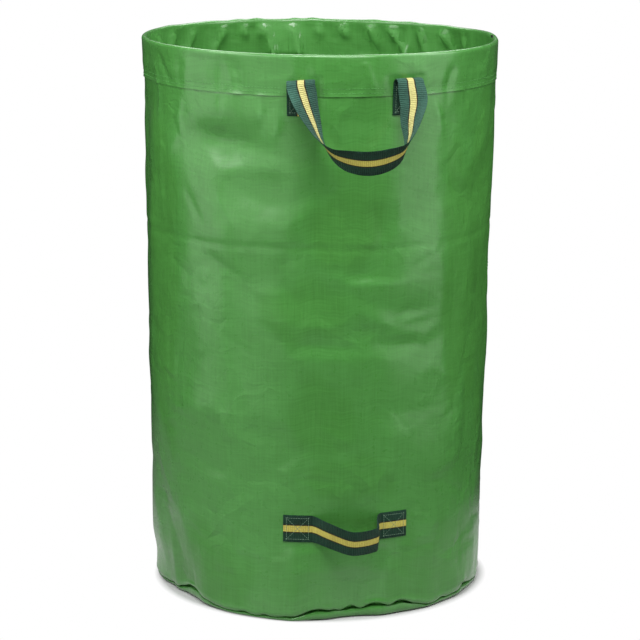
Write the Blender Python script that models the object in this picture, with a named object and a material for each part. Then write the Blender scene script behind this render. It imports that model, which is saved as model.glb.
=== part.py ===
"""Garden waste bag.

A tall round bag of green coated woven fabric. A plastic hoop inside the folded hem holds its
mouth open. Two webbing lift handles hang under the rim, and one webbing tipping handle sits
low on the front.

Metres, +Z up. The origin is on the bag's axis at the floor. The front, with the tipping handle,
faces -Y, and the side seam is near +X. Angles round the bag are in degrees from the front,
growing towards +X.
"""

import math

import bmesh
import bpy
from mathutils import Vector

# The bag
HEIGHT = 0.720
RIM_RADIUS = 0.230
HEM_EDGE_HEIGHT = 0.669
WALL_RADIUS_AT_HEM = 0.2262
WALL_RADIUS_LOW = 0.2150
TURN_IN_HEIGHT = 0.060
FOOT_RADIUS = 0.2085
SEAM_HEIGHT = 0.0050
SEAM_ALLOWANCE = 0.010
LIP_OVERHANG = 0.0055
LIP_HEIGHT = 0.0090
SIDE_SEAM_ANGLE = 87.0
RIM_LEAN = 0.0026
RIM_HIGH_SIDE = -100.0

# Materials as bought
FABRIC = 0.0008
GAP = 0.0003
HOOP_ROD = 0.0050
WEBBING_WIDTH = 0.0345
WEBBING_THICKNESS = 0.0013
STRIPE_WIDTH = 0.0082

# The pin that joins the ends of the hoop, and the notch in the hem over the joint
JOINER_DIAMETER = 0.0024
JOINER_LENGTH = 0.040
HOOP_END_GAP = 0.0010
NOTCH_WIDTH = 0.005
NOTCH_DEPTH = 0.008

# Faces round the bag and round the rod
COLUMNS = 64
ROD_SIDES = 8
PIN_SIDES = 8
STEPS_PER_SPAN = 3

# The base's outline as it stands: angle, half width in degrees, distance further out
FOOT_SHAPE = (
    (-21, 10, 0.0108),
    (-40, 14, 0.0065),
    (-71, 15, -0.0080),
    (-97, 13, 0.0045),
    (1, 7, -0.0068),
    (75, 20, -0.0025),
    (118, 16, 0.0050),
    (152, 14, -0.0050),
    (-120, 18, 0.0055),
    (-158, 12, -0.0035),
)

# Where the sewn joint of wall and base lifts off the floor: angle, half width, rise
SEAM_RISES = (
    (-8, 10, 0.0075),
    (8, 6, 0.0090),
    (19, 6, 0.0090),
    (-63, 9, 0.0080),
    (52, 12, 0.0040),
    (104, 10, 0.0060),
    (140, 8, 0.0080),
    (178, 12, 0.0060),
    (-105, 9, 0.0050),
    (-142, 11, 0.0075),
)

# Soft hollows in the wall, swells where the depth is negative:
# angle, height, half width, half height, depth
HOLLOWS = (
    (-98, 0.300, 0.110, 0.300, -0.0062),
    (-102, 0.090, 0.080, 0.100, -0.0030),
    (-45, 0.603, 0.060, 0.034, 0.0065),
    (-29, 0.556, 0.040, 0.032, 0.0045),
    (-44, 0.500, 0.060, 0.045, -0.0025),
    (-9, 0.520, 0.038, 0.050, 0.0035),
    (13, 0.500, 0.034, 0.045, 0.0025),
    (-15, 0.430, 0.060, 0.036, 0.0030),
    (27, 0.450, 0.050, 0.060, -0.0030),
    (16, 0.372, 0.055, 0.036, 0.0025),
    (-8, 0.280, 0.060, 0.090, 0.0030),
    (-45, 0.240, 0.050, 0.045, -0.0025),
    (-58, 0.170, 0.050, 0.040, 0.0030),
    (34, 0.220, 0.060, 0.080, -0.0020),
    (52, 0.550, 0.045, 0.050, 0.0040),
    (66, 0.400, 0.060, 0.090, 0.0030),
    (78, 0.200, 0.060, 0.070, 0.0030),
    (100, 0.560, 0.050, 0.060, -0.0025),
    (112, 0.330, 0.060, 0.080, 0.0035),
    (132, 0.580, 0.055, 0.045, 0.0040),
    (146, 0.160, 0.060, 0.060, 0.0030),
    (160, 0.470, 0.050, 0.070, 0.0040),
    (176, 0.300, 0.060, 0.070, -0.0025),
    (-172, 0.560, 0.055, 0.040, 0.0040),
    (-158, 0.170, 0.060, 0.060, 0.0035),
    (-146, 0.420, 0.055, 0.080, 0.0035),
    (-122, 0.570, 0.055, 0.050, 0.0035),
    (-112, 0.260, 0.060, 0.080, 0.0035),
    (-78, 0.600, 0.045, 0.040, -0.0020),
)
HOLLOWS_FADE_TOP = 0.650
HOLLOWS_FADE_BOTTOM = 0.030
HOLLOWS_FADE_RUN = 0.040

# The crease all round the wall where the bag folds flat
CREASE_HEIGHT = 0.480
CREASE_DEPTH = 0.0011

# Rows of the wall between the foot and the hoop
WALL_ROWS = (
    0.030, 0.050, 0.080, 0.115, 0.150, 0.190, 0.230, 0.270, 0.310, 0.350, 0.390,
    0.430, 0.465, CREASE_HEIGHT, 0.495, 0.525, 0.560, 0.595, 0.630, HEM_EDGE_HEIGHT, 0.690,
)

# Lift handles
LIFT_PATCH_ANGLE = 16.6
LIFT_PATCH_BOTTOM = 0.645
LIFT_PATCH_TOP = 0.684
PATCH_CLIMB = 0.662

# The free loop of a lift handle, at even steps along the webbing. Each row has the middle of the
# webbing in millimetres (across, away from the front, up) and the direction its width points.
LIFT_LOOP = (
    ((-67.0, -230.0, 683.5), (0.95, -0.20, 0.15)),
    ((-61.5, -235.0, 661.5), (0.90, 0.40, 0.15)),
    ((-54.5, -242.5, 640.0), (0.70, 0.70, -0.05)),
    ((-47.0, -251.5, 619.5), (0.45, 0.85, -0.30)),
    ((-34.5, -264.5, 604.0), (0.20, 0.80, -0.55)),
    ((-15.5, -276.0, 597.0), (0.05, 0.55, -0.85)),
    ((7.0, -283.0, 595.0), (0.10, 0.40, -0.90)),
    ((30.0, -282.5, 598.5), (0.15, 0.50, -0.85)),
    ((51.0, -276.0, 607.0), (0.05, 0.75, -0.65)),
    ((61.5, -262.0, 623.0), (-0.25, 0.85, -0.50)),
    ((66.0, -249.5, 642.5), (-0.65, 0.70, -0.30)),
    ((71.0, -237.0, 662.0), (-0.90, 0.45, -0.10)),
    ((69.0, -230.0, 684.0), (-1.00, -0.20, 0.00)),
)
CURL_STEPS = 5

# The tipping handle: where it is sewn down, in millimetres along the wall from its middle, and
# the slack bow between (along the wall, out from the wall, up, lean of the top edge in degrees)
TIPPING_ANGLE = -1.75
TIPPING_HEIGHT = 0.122
TIPPING_ENDS = (-79.5, -43.6, 44.0, 79.5)
TIPPING_BOW = (
    (-37.0, 3.6, 121.0, 2),
    (-30.0, 9.6, 119.2, 6),
    (-18.0, 20.5, 116.4, 10),
    (-4.5, 31.6, 112.6, 14),
    (3.5, 34.6, 111.2, 15),
    (17.0, 30.8, 110.8, 15),
    (28.0, 25.4, 111.2, 14),
    (33.2, 21.6, 111.8, 12),
    (35.0, 16.4, 113.2, 9),
    (36.0, 9.4, 117.0, 5),
    (39.0, 3.0, 120.6, 2),
)

# Colours as seen, red, green and blue from 0 to 1
FABRIC_GREEN = (0.29, 0.55, 0.26)
WEBBING_GREEN = (0.13, 0.25, 0.23)
STRIPE_YELLOW = (0.84, 0.77, 0.36)
HOOP_BLACK = (0.03, 0.03, 0.03)
JOINER_WHITE = (0.80, 0.80, 0.78)

# Worked out from the dimensions above
HOOP_RADIUS = RIM_RADIUS - FABRIC - GAP - HOOP_ROD / 2
HOOP_HEIGHT = HEIGHT - FABRIC - GAP - HOOP_ROD / 2
FOLD_RADIUS = HOOP_ROD / 2 + GAP + FABRIC / 2


def clear_scene():
    for leftover in list(bpy.data.objects):
        bpy.data.objects.remove(leftover, do_unlink=True)


def material(name, seen, roughness):
    """A Principled material from a colour as seen on a screen."""
    made = bpy.data.materials.new(name)
    made.use_nodes = True
    linear = [((c + 0.055) / 1.055) ** 2.4 if c > 0.04045 else c / 12.92 for c in seen]
    shader = made.node_tree.nodes["Principled BSDF"]
    shader.inputs["Base Color"].default_value = (*linear, 1.0)
    shader.inputs["Roughness"].default_value = roughness
    shader.inputs["Metallic"].default_value = 0.0
    made.diffuse_color = (*linear, 1.0)
    return made


def bell(angle, centre, half_width):
    """A smooth rise to 1 at centre, for angles round the bag."""
    away = (angle - centre + 180.0) % 360.0 - 180.0
    return math.exp(-((away / half_width) ** 2))


def ease(value):
    value = min(1.0, max(0.0, value))
    return value * value * (3.0 - 2.0 * value)


def outward(angle):
    turn = math.radians(angle)
    return Vector((math.sin(turn), -math.cos(turn), 0.0))


def tangent(angle):
    turn = math.radians(angle)
    return Vector((math.cos(turn), math.sin(turn), 0.0))


def polar(angle, radius, height):
    """A point of the standing bag, whose rim is a little higher at one side."""
    rise = RIM_LEAN * math.cos(math.radians(angle - RIM_HIGH_SIDE)) * height / HEIGHT
    point = outward(angle) * radius
    point.z = height + rise
    return point


def foot_radius(angle):
    return FOOT_RADIUS + sum(out * bell(angle, at, wide) for at, wide, out in FOOT_SHAPE)


def seam_height(angle):
    return SEAM_HEIGHT + sum(rise * bell(angle, at, wide) for at, wide, rise in SEAM_RISES)


def hollow_depth(angle, height):
    """How far the hollows and swells move the wall inwards."""
    depth = 0.0
    for at, up, wide, tall, deep in HOLLOWS:
        half_angle = math.degrees(wide / WALL_RADIUS_LOW)
        depth += deep * bell(angle, at, half_angle) * math.exp(-(((height - up) / tall) ** 2))
    below_top = ease((HOLLOWS_FADE_TOP - height) / HOLLOWS_FADE_RUN)
    above_foot = ease((height - HOLLOWS_FADE_BOTTOM) / HOLLOWS_FADE_RUN)
    crease = CREASE_DEPTH * math.exp(-(((height - CREASE_HEIGHT) / 0.006) ** 2))
    return depth * below_top * above_foot + crease


def wall_radius(angle, height):
    """The outer face of the wall, from the lip over the base joint up to the hem's edge."""
    rise = (height - TURN_IN_HEIGHT) / (HEM_EDGE_HEIGHT - TURN_IN_HEIGHT)
    radius = WALL_RADIUS_LOW + (WALL_RADIUS_AT_HEM - WALL_RADIUS_LOW) * max(0.0, rise)
    follow_foot = foot_radius(angle) - FOOT_RADIUS
    radius += 0.8 * follow_foot * math.exp(-((height / 0.09) ** 2))
    lip = foot_radius(angle) + LIP_OVERHANG + FABRIC / 2
    start = seam_height(angle) + LIP_HEIGHT
    if height < TURN_IN_HEIGHT:
        part = max(0.0, (height - start) / (TURN_IN_HEIGHT - start))
        radius = lip + (radius - lip) * math.sin(part * math.pi / 2)
    return radius - hollow_depth(angle, height)


def wall_face(angle, height):
    """The outer face of the wall with its flat facets between columns and rows."""
    spacing = 360.0 / COLUMNS
    near = math.floor(angle / spacing) * spacing
    upper = min(k for k, row in enumerate(WALL_ROWS) if row >= height)
    low, high = WALL_ROWS[upper - 1], WALL_ROWS[upper]
    part = (height - low) / (high - low)
    ends = []
    for column in (near, near + spacing):
        below, above = wall_radius(column, low), wall_radius(column, high)
        ends.append(below + (above - below) * part)
    before = math.sin(math.radians(angle - near))
    after = math.sin(math.radians(near + spacing - angle))
    whole = math.sin(math.radians(spacing))
    return ends[0] * ends[1] * whole / (ends[0] * before + ends[1] * after)


def hem_radius(angle, height):
    """The outer face of the hem, which runs straight from the hoop to its raw edge."""
    edge = wall_radius(angle, HEM_EDGE_HEIGHT) + GAP + FABRIC
    part = (height - HEM_EDGE_HEIGHT) / (HOOP_HEIGHT - HEM_EDGE_HEIGHT)
    return edge + (RIM_RADIUS - edge) * part


def wall_path(angle):
    """The middle of the wall's sheet as radius and height, from the base joint to the hem."""
    foot = foot_radius(angle)
    seam = seam_height(angle) + FABRIC + GAP
    path = [
        (foot - SEAM_ALLOWANCE, seam + 0.0010),
        (foot - 0.0010, seam),
        (foot + 0.0032, seam - 0.0003),
        (foot + 0.0048, seam + 0.0032),
        (foot + LIP_OVERHANG, seam + LIP_HEIGHT - FABRIC - GAP),
    ]
    half = FABRIC / 2
    at_edge = wall_radius(angle, HEM_EDGE_HEIGHT) - half
    for row in WALL_ROWS:
        if row <= HEM_EDGE_HEIGHT:
            path.append((wall_radius(angle, row) - half, row))
        else:
            part = (row - HEM_EDGE_HEIGHT) / (HOOP_HEIGHT - HEM_EDGE_HEIGHT)
            inner = at_edge + (HOOP_RADIUS - FOLD_RADIUS - at_edge) * part
            path.append((inner, row))
    for step in range(5):
        turn = math.pi * (1.0 - step / 4.0)
        path.append((
            HOOP_RADIUS + FOLD_RADIUS * math.cos(turn),
            HOOP_HEIGHT + FOLD_RADIUS * math.sin(turn),
        ))
    for row in (WALL_ROWS[-1], HEM_EDGE_HEIGHT):
        path.append((hem_radius(angle, row) - half, row))
    return path


def base_path(angle):
    """The middle of the base's sheet, from inside its flat part to its seam allowance."""
    foot = foot_radius(angle)
    seam = seam_height(angle)
    return [
        (0.080, FABRIC / 2),
        (0.150, FABRIC / 2),
        (foot - 0.0060, FABRIC / 2),
        (foot - 0.0016, FABRIC / 2 + 0.0005),
        (foot, 0.0026),
        (foot, seam - 0.0012),
        (foot - 0.0012, seam),
        (foot - SEAM_ALLOWANCE, seam + 0.0010),
    ]


def thicken(path, thickness):
    """Both faces of a sheet as one closed loop of points, with mitred corners."""
    left, right = [], []
    last = len(path) - 1
    for index, (x, y) in enumerate(path):
        before = path[max(index - 1, 0)]
        after = path[min(index + 1, last)]
        into = Vector((x - before[0], y - before[1]))
        out = Vector((after[0] - x, after[1] - y))
        if index == 0:
            into = out
        if index == last:
            out = into
        into.normalize()
        out.normalize()
        across = Vector((-(into.y + out.y), into.x + out.x)).normalized()
        mitre = min(1.6, 1.0 / max(0.2, across.dot(Vector((-into.y, into.x)))))
        half = thickness / 2 * mitre
        left.append((x + across.x * half, y + across.y * half))
        right.append((x - across.x * half, y - across.y * half))
    return left + right[::-1]


def new_object(name, mesh_maker, materials, sharp_angle=40.0):
    """An object from a bmesh, facing out, shaded smooth except at sharp edges."""
    mesh_maker.normal_update()
    bmesh.ops.recalc_face_normals(mesh_maker, faces=mesh_maker.faces)
    mesh = bpy.data.meshes.new(name)
    mesh_maker.to_mesh(mesh)
    mesh_maker.free()
    mesh.shade_smooth()
    mesh.set_sharp_from_angle(angle=math.radians(sharp_angle))
    for used in materials:
        mesh.materials.append(used)
    made = bpy.data.objects.new(name, mesh)
    bpy.context.scene.collection.objects.link(made)
    return made


def join_rings(mesh_maker, rings, closed):
    """Quads between neighbouring rings of vertices."""
    count = len(rings)
    size = len(rings[0])
    for index in range(count if closed else count - 1):
        here, there = rings[index], rings[(index + 1) % count]
        for k in range(size):
            following = (k + 1) % size
            mesh_maker.faces.new((here[k], here[following], there[following], there[k]))


def column_angles():
    return [360.0 * column / COLUMNS for column in range(COLUMNS)]


def build_wall(fabric):
    """The wall and its hem as one sheet, with the notch over the hoop's joint cut away."""
    maker = bmesh.new()
    rings = []
    for angle in column_angles():
        section = thicken(wall_path(angle), FABRIC)
        rings.append([maker.verts.new(polar(angle, r, z)) for r, z in section])
    join_rings(maker, rings, closed=True)
    wall = new_object("bag_wall", maker, [fabric])

    bottom = HEIGHT - NOTCH_DEPTH
    top = HEIGHT + NOTCH_DEPTH
    maker = bmesh.new()
    bmesh.ops.create_cube(maker, size=1.0)
    for corner in maker.verts:
        along = corner.co.x * NOTCH_WIDTH
        out = HOOP_RADIUS + corner.co.y * 4.0 * HOOP_ROD
        height = top if corner.co.z > 0 else bottom
        corner.co = polar(SIDE_SEAM_ANGLE, out, height) + along * tangent(SIDE_SEAM_ANGLE)
    cutter = new_object("notch_cutter", maker, [])
    cutter.hide_render = True
    cutter.display_type = "WIRE"
    notch = wall.modifiers.new("Notch over the joint", "BOOLEAN")
    notch.operation = "DIFFERENCE"
    notch.solver = "EXACT"
    notch.object = cutter
    return wall


def build_base(fabric):
    """The round base, flat on the floor, with its edge turned up and sewn inwards."""
    maker = bmesh.new()
    rings = []
    for angle in column_angles():
        section = thicken(base_path(angle), FABRIC)
        rings.append([maker.verts.new(polar(angle, r, z)) for r, z in section])
    size = len(rings[0])
    for index, here in enumerate(rings):
        there = rings[(index + 1) % COLUMNS]
        for k in range(size - 1):
            maker.faces.new((here[k], here[k + 1], there[k + 1], there[k]))
    maker.faces.new([ring[0] for ring in rings])
    maker.faces.new([ring[-1] for ring in rings])
    return new_object("base_panel", maker, [fabric])


def rod_ring(maker, angle, radius, sides):
    """One ring of vertices round the rod's middle."""
    ring = []
    for side in range(sides):
        turn = 2.0 * math.pi * side / sides
        out = HOOP_RADIUS + radius * math.cos(turn)
        ring.append(maker.verts.new(polar(angle, out, HOOP_HEIGHT + radius * math.sin(turn))))
    return ring


def build_hoop(plastic):
    """The rod bent to a ring, with a blind bore in each end for the pin."""
    across_sides = math.cos(math.pi / ROD_SIDES)
    rod = HOOP_ROD / 2
    bore = (JOINER_DIAMETER / 2 + GAP) / across_sides
    end_angle = math.degrees(HOOP_END_GAP / 2 / HOOP_RADIUS)
    bore_angle = math.degrees((JOINER_LENGTH / 2 + 0.001) / HOOP_RADIUS)
    spacing = 360.0 / COLUMNS
    maker = bmesh.new()
    first = SIDE_SEAM_ANGLE + end_angle
    last = SIDE_SEAM_ANGLE + 360.0 - end_angle
    between = [column * spacing for column in range(2 * COLUMNS)]
    angles = [first] + [a for a in between if first + 0.5 < a < last - 0.5] + [last]
    outer = [rod_ring(maker, angle, rod, ROD_SIDES) for angle in angles]
    join_rings(maker, outer, closed=False)
    for end, direction in ((first, 1.0), (last, -1.0)):
        steps = [end, end + direction * bore_angle / 2, end + direction * bore_angle]
        inner = [rod_ring(maker, angle, bore, ROD_SIDES) for angle in steps]
        join_rings(maker, inner, closed=False)
        join_rings(maker, [outer[0] if direction > 0 else outer[-1], inner[0]], closed=False)
        maker.faces.new(inner[-1])
    return new_object("rim_hoop", maker, [plastic])


def build_joiner(plastic):
    """The pin inside the two ends of the hoop."""
    half_angle = math.degrees(JOINER_LENGTH / 2 / HOOP_RADIUS)
    maker = bmesh.new()
    steps = 4
    rings = []
    for step in range(steps + 1):
        angle = SIDE_SEAM_ANGLE + half_angle * (2.0 * step / steps - 1.0)
        rings.append(rod_ring(maker, angle, JOINER_DIAMETER / 2, PIN_SIDES))
    join_rings(maker, rings, closed=False)
    maker.faces.new(rings[0])
    maker.faces.new(rings[-1])
    return new_object("hoop_joiner", maker, [plastic])


def strap_offsets():
    """Places across the webbing: its edges and the edges of its stripe."""
    return (-WEBBING_WIDTH / 2, -STRIPE_WIDTH / 2, STRIPE_WIDTH / 2, WEBBING_WIDTH / 2)


def flat_station(middle, along, width):
    """Points across a flat piece of webbing, with their normals."""
    normal = along.cross(width).normalized()
    return [(middle + width * place, normal) for place in strap_offsets()]


def smooth_rows(rows, steps):
    """A smooth line through rows of numbers, with even steps between neighbouring rows."""
    points = [Vector(row[:3]) for row in rows]
    lengths = [(b - a).length for a, b in zip(points, points[1:])]
    slopes = []
    for index in range(len(rows)):
        low, high = max(index - 1, 0), min(index + 1, len(rows) - 1)
        run = sum(lengths[low:high])
        slopes.append([(b - a) / run for a, b in zip(rows[low], rows[high])])
    smooth = []
    for index, run in enumerate(lengths):
        for step in range(steps):
            t = step / steps
            start, end = 2 * t**3 - 3 * t**2 + 1, 3 * t**2 - 2 * t**3
            leave, arrive = t**3 - 2 * t**2 + t, t**3 - t**2
            smooth.append([
                start * a + end * b + run * (leave * sa + arrive * sb)
                for a, b, sa, sb in zip(rows[index], rows[index + 1], slopes[index], slopes[index + 1])
            ])
    smooth.append(list(rows[-1]))
    return smooth


def directions(points):
    """The way a line of points runs, at each of its points."""
    last = len(points) - 1
    return [
        (points[min(k + 1, last)] - points[max(k - 1, 0)]).normalized() for k in range(last + 1)
    ]


def lift_patch_station(angle, height, side):
    """Webbing sewn upright on the wall and hem. side is 1 where it runs up, -1 where down."""
    if height > PATCH_CLIMB:
        outer = hem_radius(angle, max(height, HEM_EDGE_HEIGHT))
    else:
        outer = wall_face(angle, height)
    outer += GAP + WEBBING_THICKNESS / 2
    station = []
    for place in strap_offsets():
        at = angle + side * math.degrees(place / outer)
        station.append((polar(at, outer, height), -outward(at)))
    return station


def curl_stations(sewn, free, width_start, width_end):
    """The webbing's turn over the top of a patch, half a circle seen from the side."""
    middle = (sewn + free) / 2
    reach = (free - sewn) / 2
    up = Vector((0.0, 0.0, reach.length))
    points, widths = [], []
    for step in range(1, CURL_STEPS):
        turn = math.pi * step / CURL_STEPS
        points.append(middle - reach * math.cos(turn) + up * math.sin(turn))
        widths.append(width_start.lerp(width_end, step / CURL_STEPS).normalized())
    return points, widths


def lift_handle_stations():
    """The front lift handle from the bottom of one patch to the bottom of the other."""
    rows = [[c / 1000.0 for c in middle] + list(width) for middle, width in LIFT_LOOP]
    smooth = smooth_rows(rows, STEPS_PER_SPAN)
    loop = [Vector(row[:3]) for row in smooth]
    widths = [Vector(row[3:]).normalized() for row in smooth]
    heights = (LIFT_PATCH_BOTTOM, 0.656, 0.666, 0.675, LIFT_PATCH_TOP)
    left = [lift_patch_station(-LIFT_PATCH_ANGLE, height, 1) for height in heights]
    right = [lift_patch_station(LIFT_PATCH_ANGLE, height, -1) for height in heights]

    def middle_of(station):
        return (station[1][0] + station[2][0]) / 2

    rising, rising_widths = curl_stations(
        middle_of(left[-1]), loop[0], tangent(-LIFT_PATCH_ANGLE), widths[0]
    )
    falling, falling_widths = curl_stations(
        middle_of(right[-1]), loop[-1], -tangent(LIFT_PATCH_ANGLE), widths[-1]
    )
    points = rising + loop + falling[::-1]
    across = rising_widths + widths + falling_widths[::-1]
    ends = [middle_of(left[-1])] + points + [middle_of(right[-1])]
    along = directions(ends)[1:-1]
    free = [flat_station(p, t, w) for p, t, w in zip(points, along, across)]
    return left + free + right[::-1]


def tipping_handle_stations():
    """The tipping handle from its left end to its right end."""

    def angle_at(along):
        return TIPPING_ANGLE + math.degrees(along / WALL_RADIUS_LOW)

    def sewn_station(at):
        station = []
        for place in strap_offsets():
            height = TIPPING_HEIGHT + place
            outer = wall_face(at, height) + GAP + WEBBING_THICKNESS / 2
            station.append((polar(at, outer, height), outward(at)))
        return station

    def sewn_stations(first, last):
        """Stations at both ends and wherever the wall's facets meet."""
        spacing = 360.0 / COLUMNS
        meet = [spacing * column for column in range(-COLUMNS // 2, COLUMNS // 2)]
        between = [at for at in meet if first + 0.6 < at < last - 0.6]
        return [sewn_station(at) for at in [first] + between + [last]]

    start, leave, arrive, finish = [angle_at(mm / 1000.0) for mm in TIPPING_ENDS]
    left = sewn_stations(start, leave)
    right = sewn_stations(arrive, finish)

    rows = []
    for along, out, height, lean in TIPPING_BOW:
        at = angle_at(along / 1000.0)
        clear = GAP + WEBBING_THICKNESS / 2
        outer = wall_face(at, height / 1000.0) + clear + out / 1000.0
        width = outward(at) * math.sin(math.radians(lean))
        width.z = math.cos(math.radians(lean))
        rows.append([*polar(at, outer, height / 1000.0), *width])
    sewn_ends = []
    for station in (left[-1], right[0]):
        middle = (station[1][0] + station[2][0]) / 2
        sewn_ends.append([*middle, 0.0, 0.0, 1.0])
    rows = [sewn_ends[0]] + rows + [sewn_ends[1]]
    smooth = smooth_rows(rows, 2)[1:-1]
    points = [Vector(row[:3]) for row in smooth]
    widths = [Vector(row[3:]).normalized() for row in smooth]
    along = directions([Vector(rows[0][:3])] + points + [Vector(rows[-1][:3])])[1:-1]
    free = [flat_station(p, t, w) for p, t, w in zip(points, along, widths)]
    return left + free + right


def build_strap(name, stations, webbing, stripe, half_turn=False):
    """A strip of webbing through the stations, with a stripe down the middle of both faces."""
    maker = bmesh.new()
    half = WEBBING_THICKNESS / 2
    turn = -1.0 if half_turn else 1.0
    rings = []
    for station in stations:
        near = [point + normal * half for point, normal in station]
        far = [point - normal * half for point, normal in station]
        corners = near + far[::-1]
        rings.append([maker.verts.new((turn * p.x, turn * p.y, p.z)) for p in corners])
    size = len(rings[0])
    stripe_sides = (1, 5)
    for here, there in zip(rings, rings[1:]):
        for k in range(size):
            following = (k + 1) % size
            face = maker.faces.new((here[k], here[following], there[following], there[k]))
            face.material_index = 1 if k in stripe_sides else 0
    maker.faces.new(rings[0])
    maker.faces.new(rings[-1])
    return new_object(name, maker, [webbing, stripe])


def main():
    clear_scene()
    fabric = material("coated woven fabric", FABRIC_GREEN, 0.42)
    base_fabric = material("base fabric", FABRIC_GREEN, 0.45)
    webbing = material("ribbed webbing", WEBBING_GREEN, 0.75)
    stripe = material("webbing stripe", STRIPE_YELLOW, 0.70)
    hoop_plastic = material("hoop plastic", HOOP_BLACK, 0.40)
    joiner_plastic = material("joiner plastic", JOINER_WHITE, 0.45)

    build_wall(fabric)
    build_base(base_fabric)
    build_hoop(hoop_plastic)
    build_joiner(joiner_plastic)
    lift = lift_handle_stations()
    build_strap("front_lift_handle", lift, webbing, stripe)
    build_strap("rear_lift_handle", lift, webbing, stripe, half_turn=True)
    build_strap("tipping_handle", tipping_handle_stations(), webbing, stripe)


main()
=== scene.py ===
"""Garden waste bag, dressed.

A tall round bag of green coated woven fabric on a white ground. A black plastic rod in the
stitched hem holds its mouth open, two striped webbing handles hang under the rim and a third is
sewn low on the front. Each piece of cloth is one thin sheet with its folds modelled, and the
threads are modelled stitch by stitch.

Metres, +Z up. The origin is on the bag's axis at the floor, the front faces -Y, and angles round
the bag are in degrees from the front, growing towards +X.
"""

import math

import bmesh
import bpy
import numpy as np
from bpy.props import FloatProperty, FloatVectorProperty, IntProperty, PointerProperty
from bpy.types import Operator, Panel, PropertyGroup
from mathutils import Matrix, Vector
from mathutils.geometry import delaunay_2d_cdt


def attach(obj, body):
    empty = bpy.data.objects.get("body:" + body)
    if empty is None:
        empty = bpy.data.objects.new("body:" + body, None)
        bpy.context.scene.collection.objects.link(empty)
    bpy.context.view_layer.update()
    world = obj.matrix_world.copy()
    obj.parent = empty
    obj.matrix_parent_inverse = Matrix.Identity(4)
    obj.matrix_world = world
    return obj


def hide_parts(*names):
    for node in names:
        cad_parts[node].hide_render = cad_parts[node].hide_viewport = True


bl_info = {
    "name": "Garden Waste Bag",
    "version": (1, 0, 0),
    "blender": (4, 5, 0),
    "location": "3D View > Sidebar > Garden Bag",
    "description": "Dresses a round garden waste bag in coated fabric, webbing and thread",
    "category": "Object",
}

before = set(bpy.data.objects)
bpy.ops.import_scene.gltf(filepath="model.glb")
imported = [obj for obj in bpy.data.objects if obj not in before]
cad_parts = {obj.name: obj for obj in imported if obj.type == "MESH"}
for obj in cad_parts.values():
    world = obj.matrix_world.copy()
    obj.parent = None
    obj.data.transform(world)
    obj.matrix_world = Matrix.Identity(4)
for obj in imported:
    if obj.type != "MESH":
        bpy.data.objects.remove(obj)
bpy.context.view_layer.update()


# What the numbers of the tables are divided by: tenths, millimetres, tenths of a millimetre
TENTHS, MM, TENTH_MM = 10, 1000, 10000


def divided(rows, *units):
    """A table from one in handy whole numbers, with what each column is divided by."""
    return [[value / unit for value, unit in zip(row, units)] for row in rows]


# The bag's main sizes
HEIGHT = 0.720
RIM_RADIUS = 0.230
HEM_EDGE_HEIGHT = 0.669
WALL_RADIUS_AT_HEM = 0.2262
WALL_RADIUS_LOW = 0.2150
TURN_IN_HEIGHT = 0.060
FOOT_RADIUS = 0.2085
SEAM_HEIGHT = 0.0050
SIDE_SEAM_ANGLE = 87.0
RIM_LEAN = 0.0026
RIM_HIGH_SIDE = -100.0
SEAM_LIFT = 0.0022
SOLID_FABRIC = 0.0008
GAP = 0.0003
HOOP_ROD = 0.0050
HOOP_RADIUS = RIM_RADIUS - SOLID_FABRIC - GAP - HOOP_ROD / 2
HOOP_HEIGHT = HEIGHT - SOLID_FABRIC - GAP - HOOP_ROD / 2
LIP_OVERHANG = 0.0055
LIP_HEIGHT = 0.0090
WEBBING_WIDTH = 0.0345
WEBBING_THICKNESS = 0.0013
STRIPE_WIDTH = 0.0082

# Rows of thread: over the hem's edge, and round from the side seam
HEM_ROWS = (0.0042, 0.0097)
SIDE_SEAM_ROWS = (-0.0030, -0.0100)

# Radii at which sizes along the cloth are turned into angles
CLOTH_RADIUS = 0.222
PATCH_RADIUS = 0.2285
UV_RADIUS = 0.2264
MM_PER_DEGREE = 3.84

# The wall's folds are worked out on a grid of these steps
ANGLE_STEP = 0.5
HEIGHT_STEP = 0.002
LOWEST = -0.004

# The base's outline as it stands: angle, half width in degrees, distance further out
FOOT_SHAPE = divided((
    (-21, 10, 108), (-40, 14, 65), (-71, 15, -80), (-97, 13, 45), (1, 7, -68), (75, 20, -25),
    (118, 16, 50), (152, 14, -50), (-120, 18, 55), (-158, 12, -35),
), 1, 1, TENTH_MM)

# Where the sewn joint of wall and base lifts off the floor: angle, half width, rise
SEAM_RISES = divided((
    (-8, 10, 75), (8, 6, 90), (19, 6, 90), (-63, 9, 80), (52, 12, 40), (104, 10, 60), (140, 8, 80),
    (178, 12, 60), (-105, 9, 50), (-142, 11, 75),
), 1, 1, TENTH_MM)

# Soft hollows in the wall, swells where the depth is negative:
# angle, height, half width, half height, depth
HOLLOWS = divided((
    (-98, 300, 110, 300, -62), (-102, 90, 80, 100, -30), (-45, 603, 60, 34, 65),
    (-29, 556, 40, 32, 45), (-44, 500, 60, 45, -25), (-9, 520, 38, 50, 35), (13, 500, 34, 45, 25),
    (-15, 430, 60, 36, 30), (27, 450, 50, 60, -30), (16, 372, 55, 36, 25), (-8, 280, 60, 90, 30),
    (-45, 240, 50, 45, -25), (-58, 170, 50, 40, 30), (34, 220, 60, 80, -20), (52, 550, 45, 50, 40),
    (66, 400, 60, 90, 30), (78, 200, 60, 70, 30), (100, 560, 50, 60, -25), (112, 330, 60, 80, 35),
    (132, 580, 55, 45, 40), (146, 160, 60, 60, 30), (160, 470, 50, 70, 40), (176, 300, 60, 70, -25),
    (-172, 560, 55, 40, 40), (-158, 170, 60, 60, 35), (-146, 420, 55, 80, 35),
    (-122, 570, 55, 50, 35), (-112, 260, 60, 80, 35), (-78, 600, 45, 40, -20),
), 1, MM, MM, MM, TENTH_MM)
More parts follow.
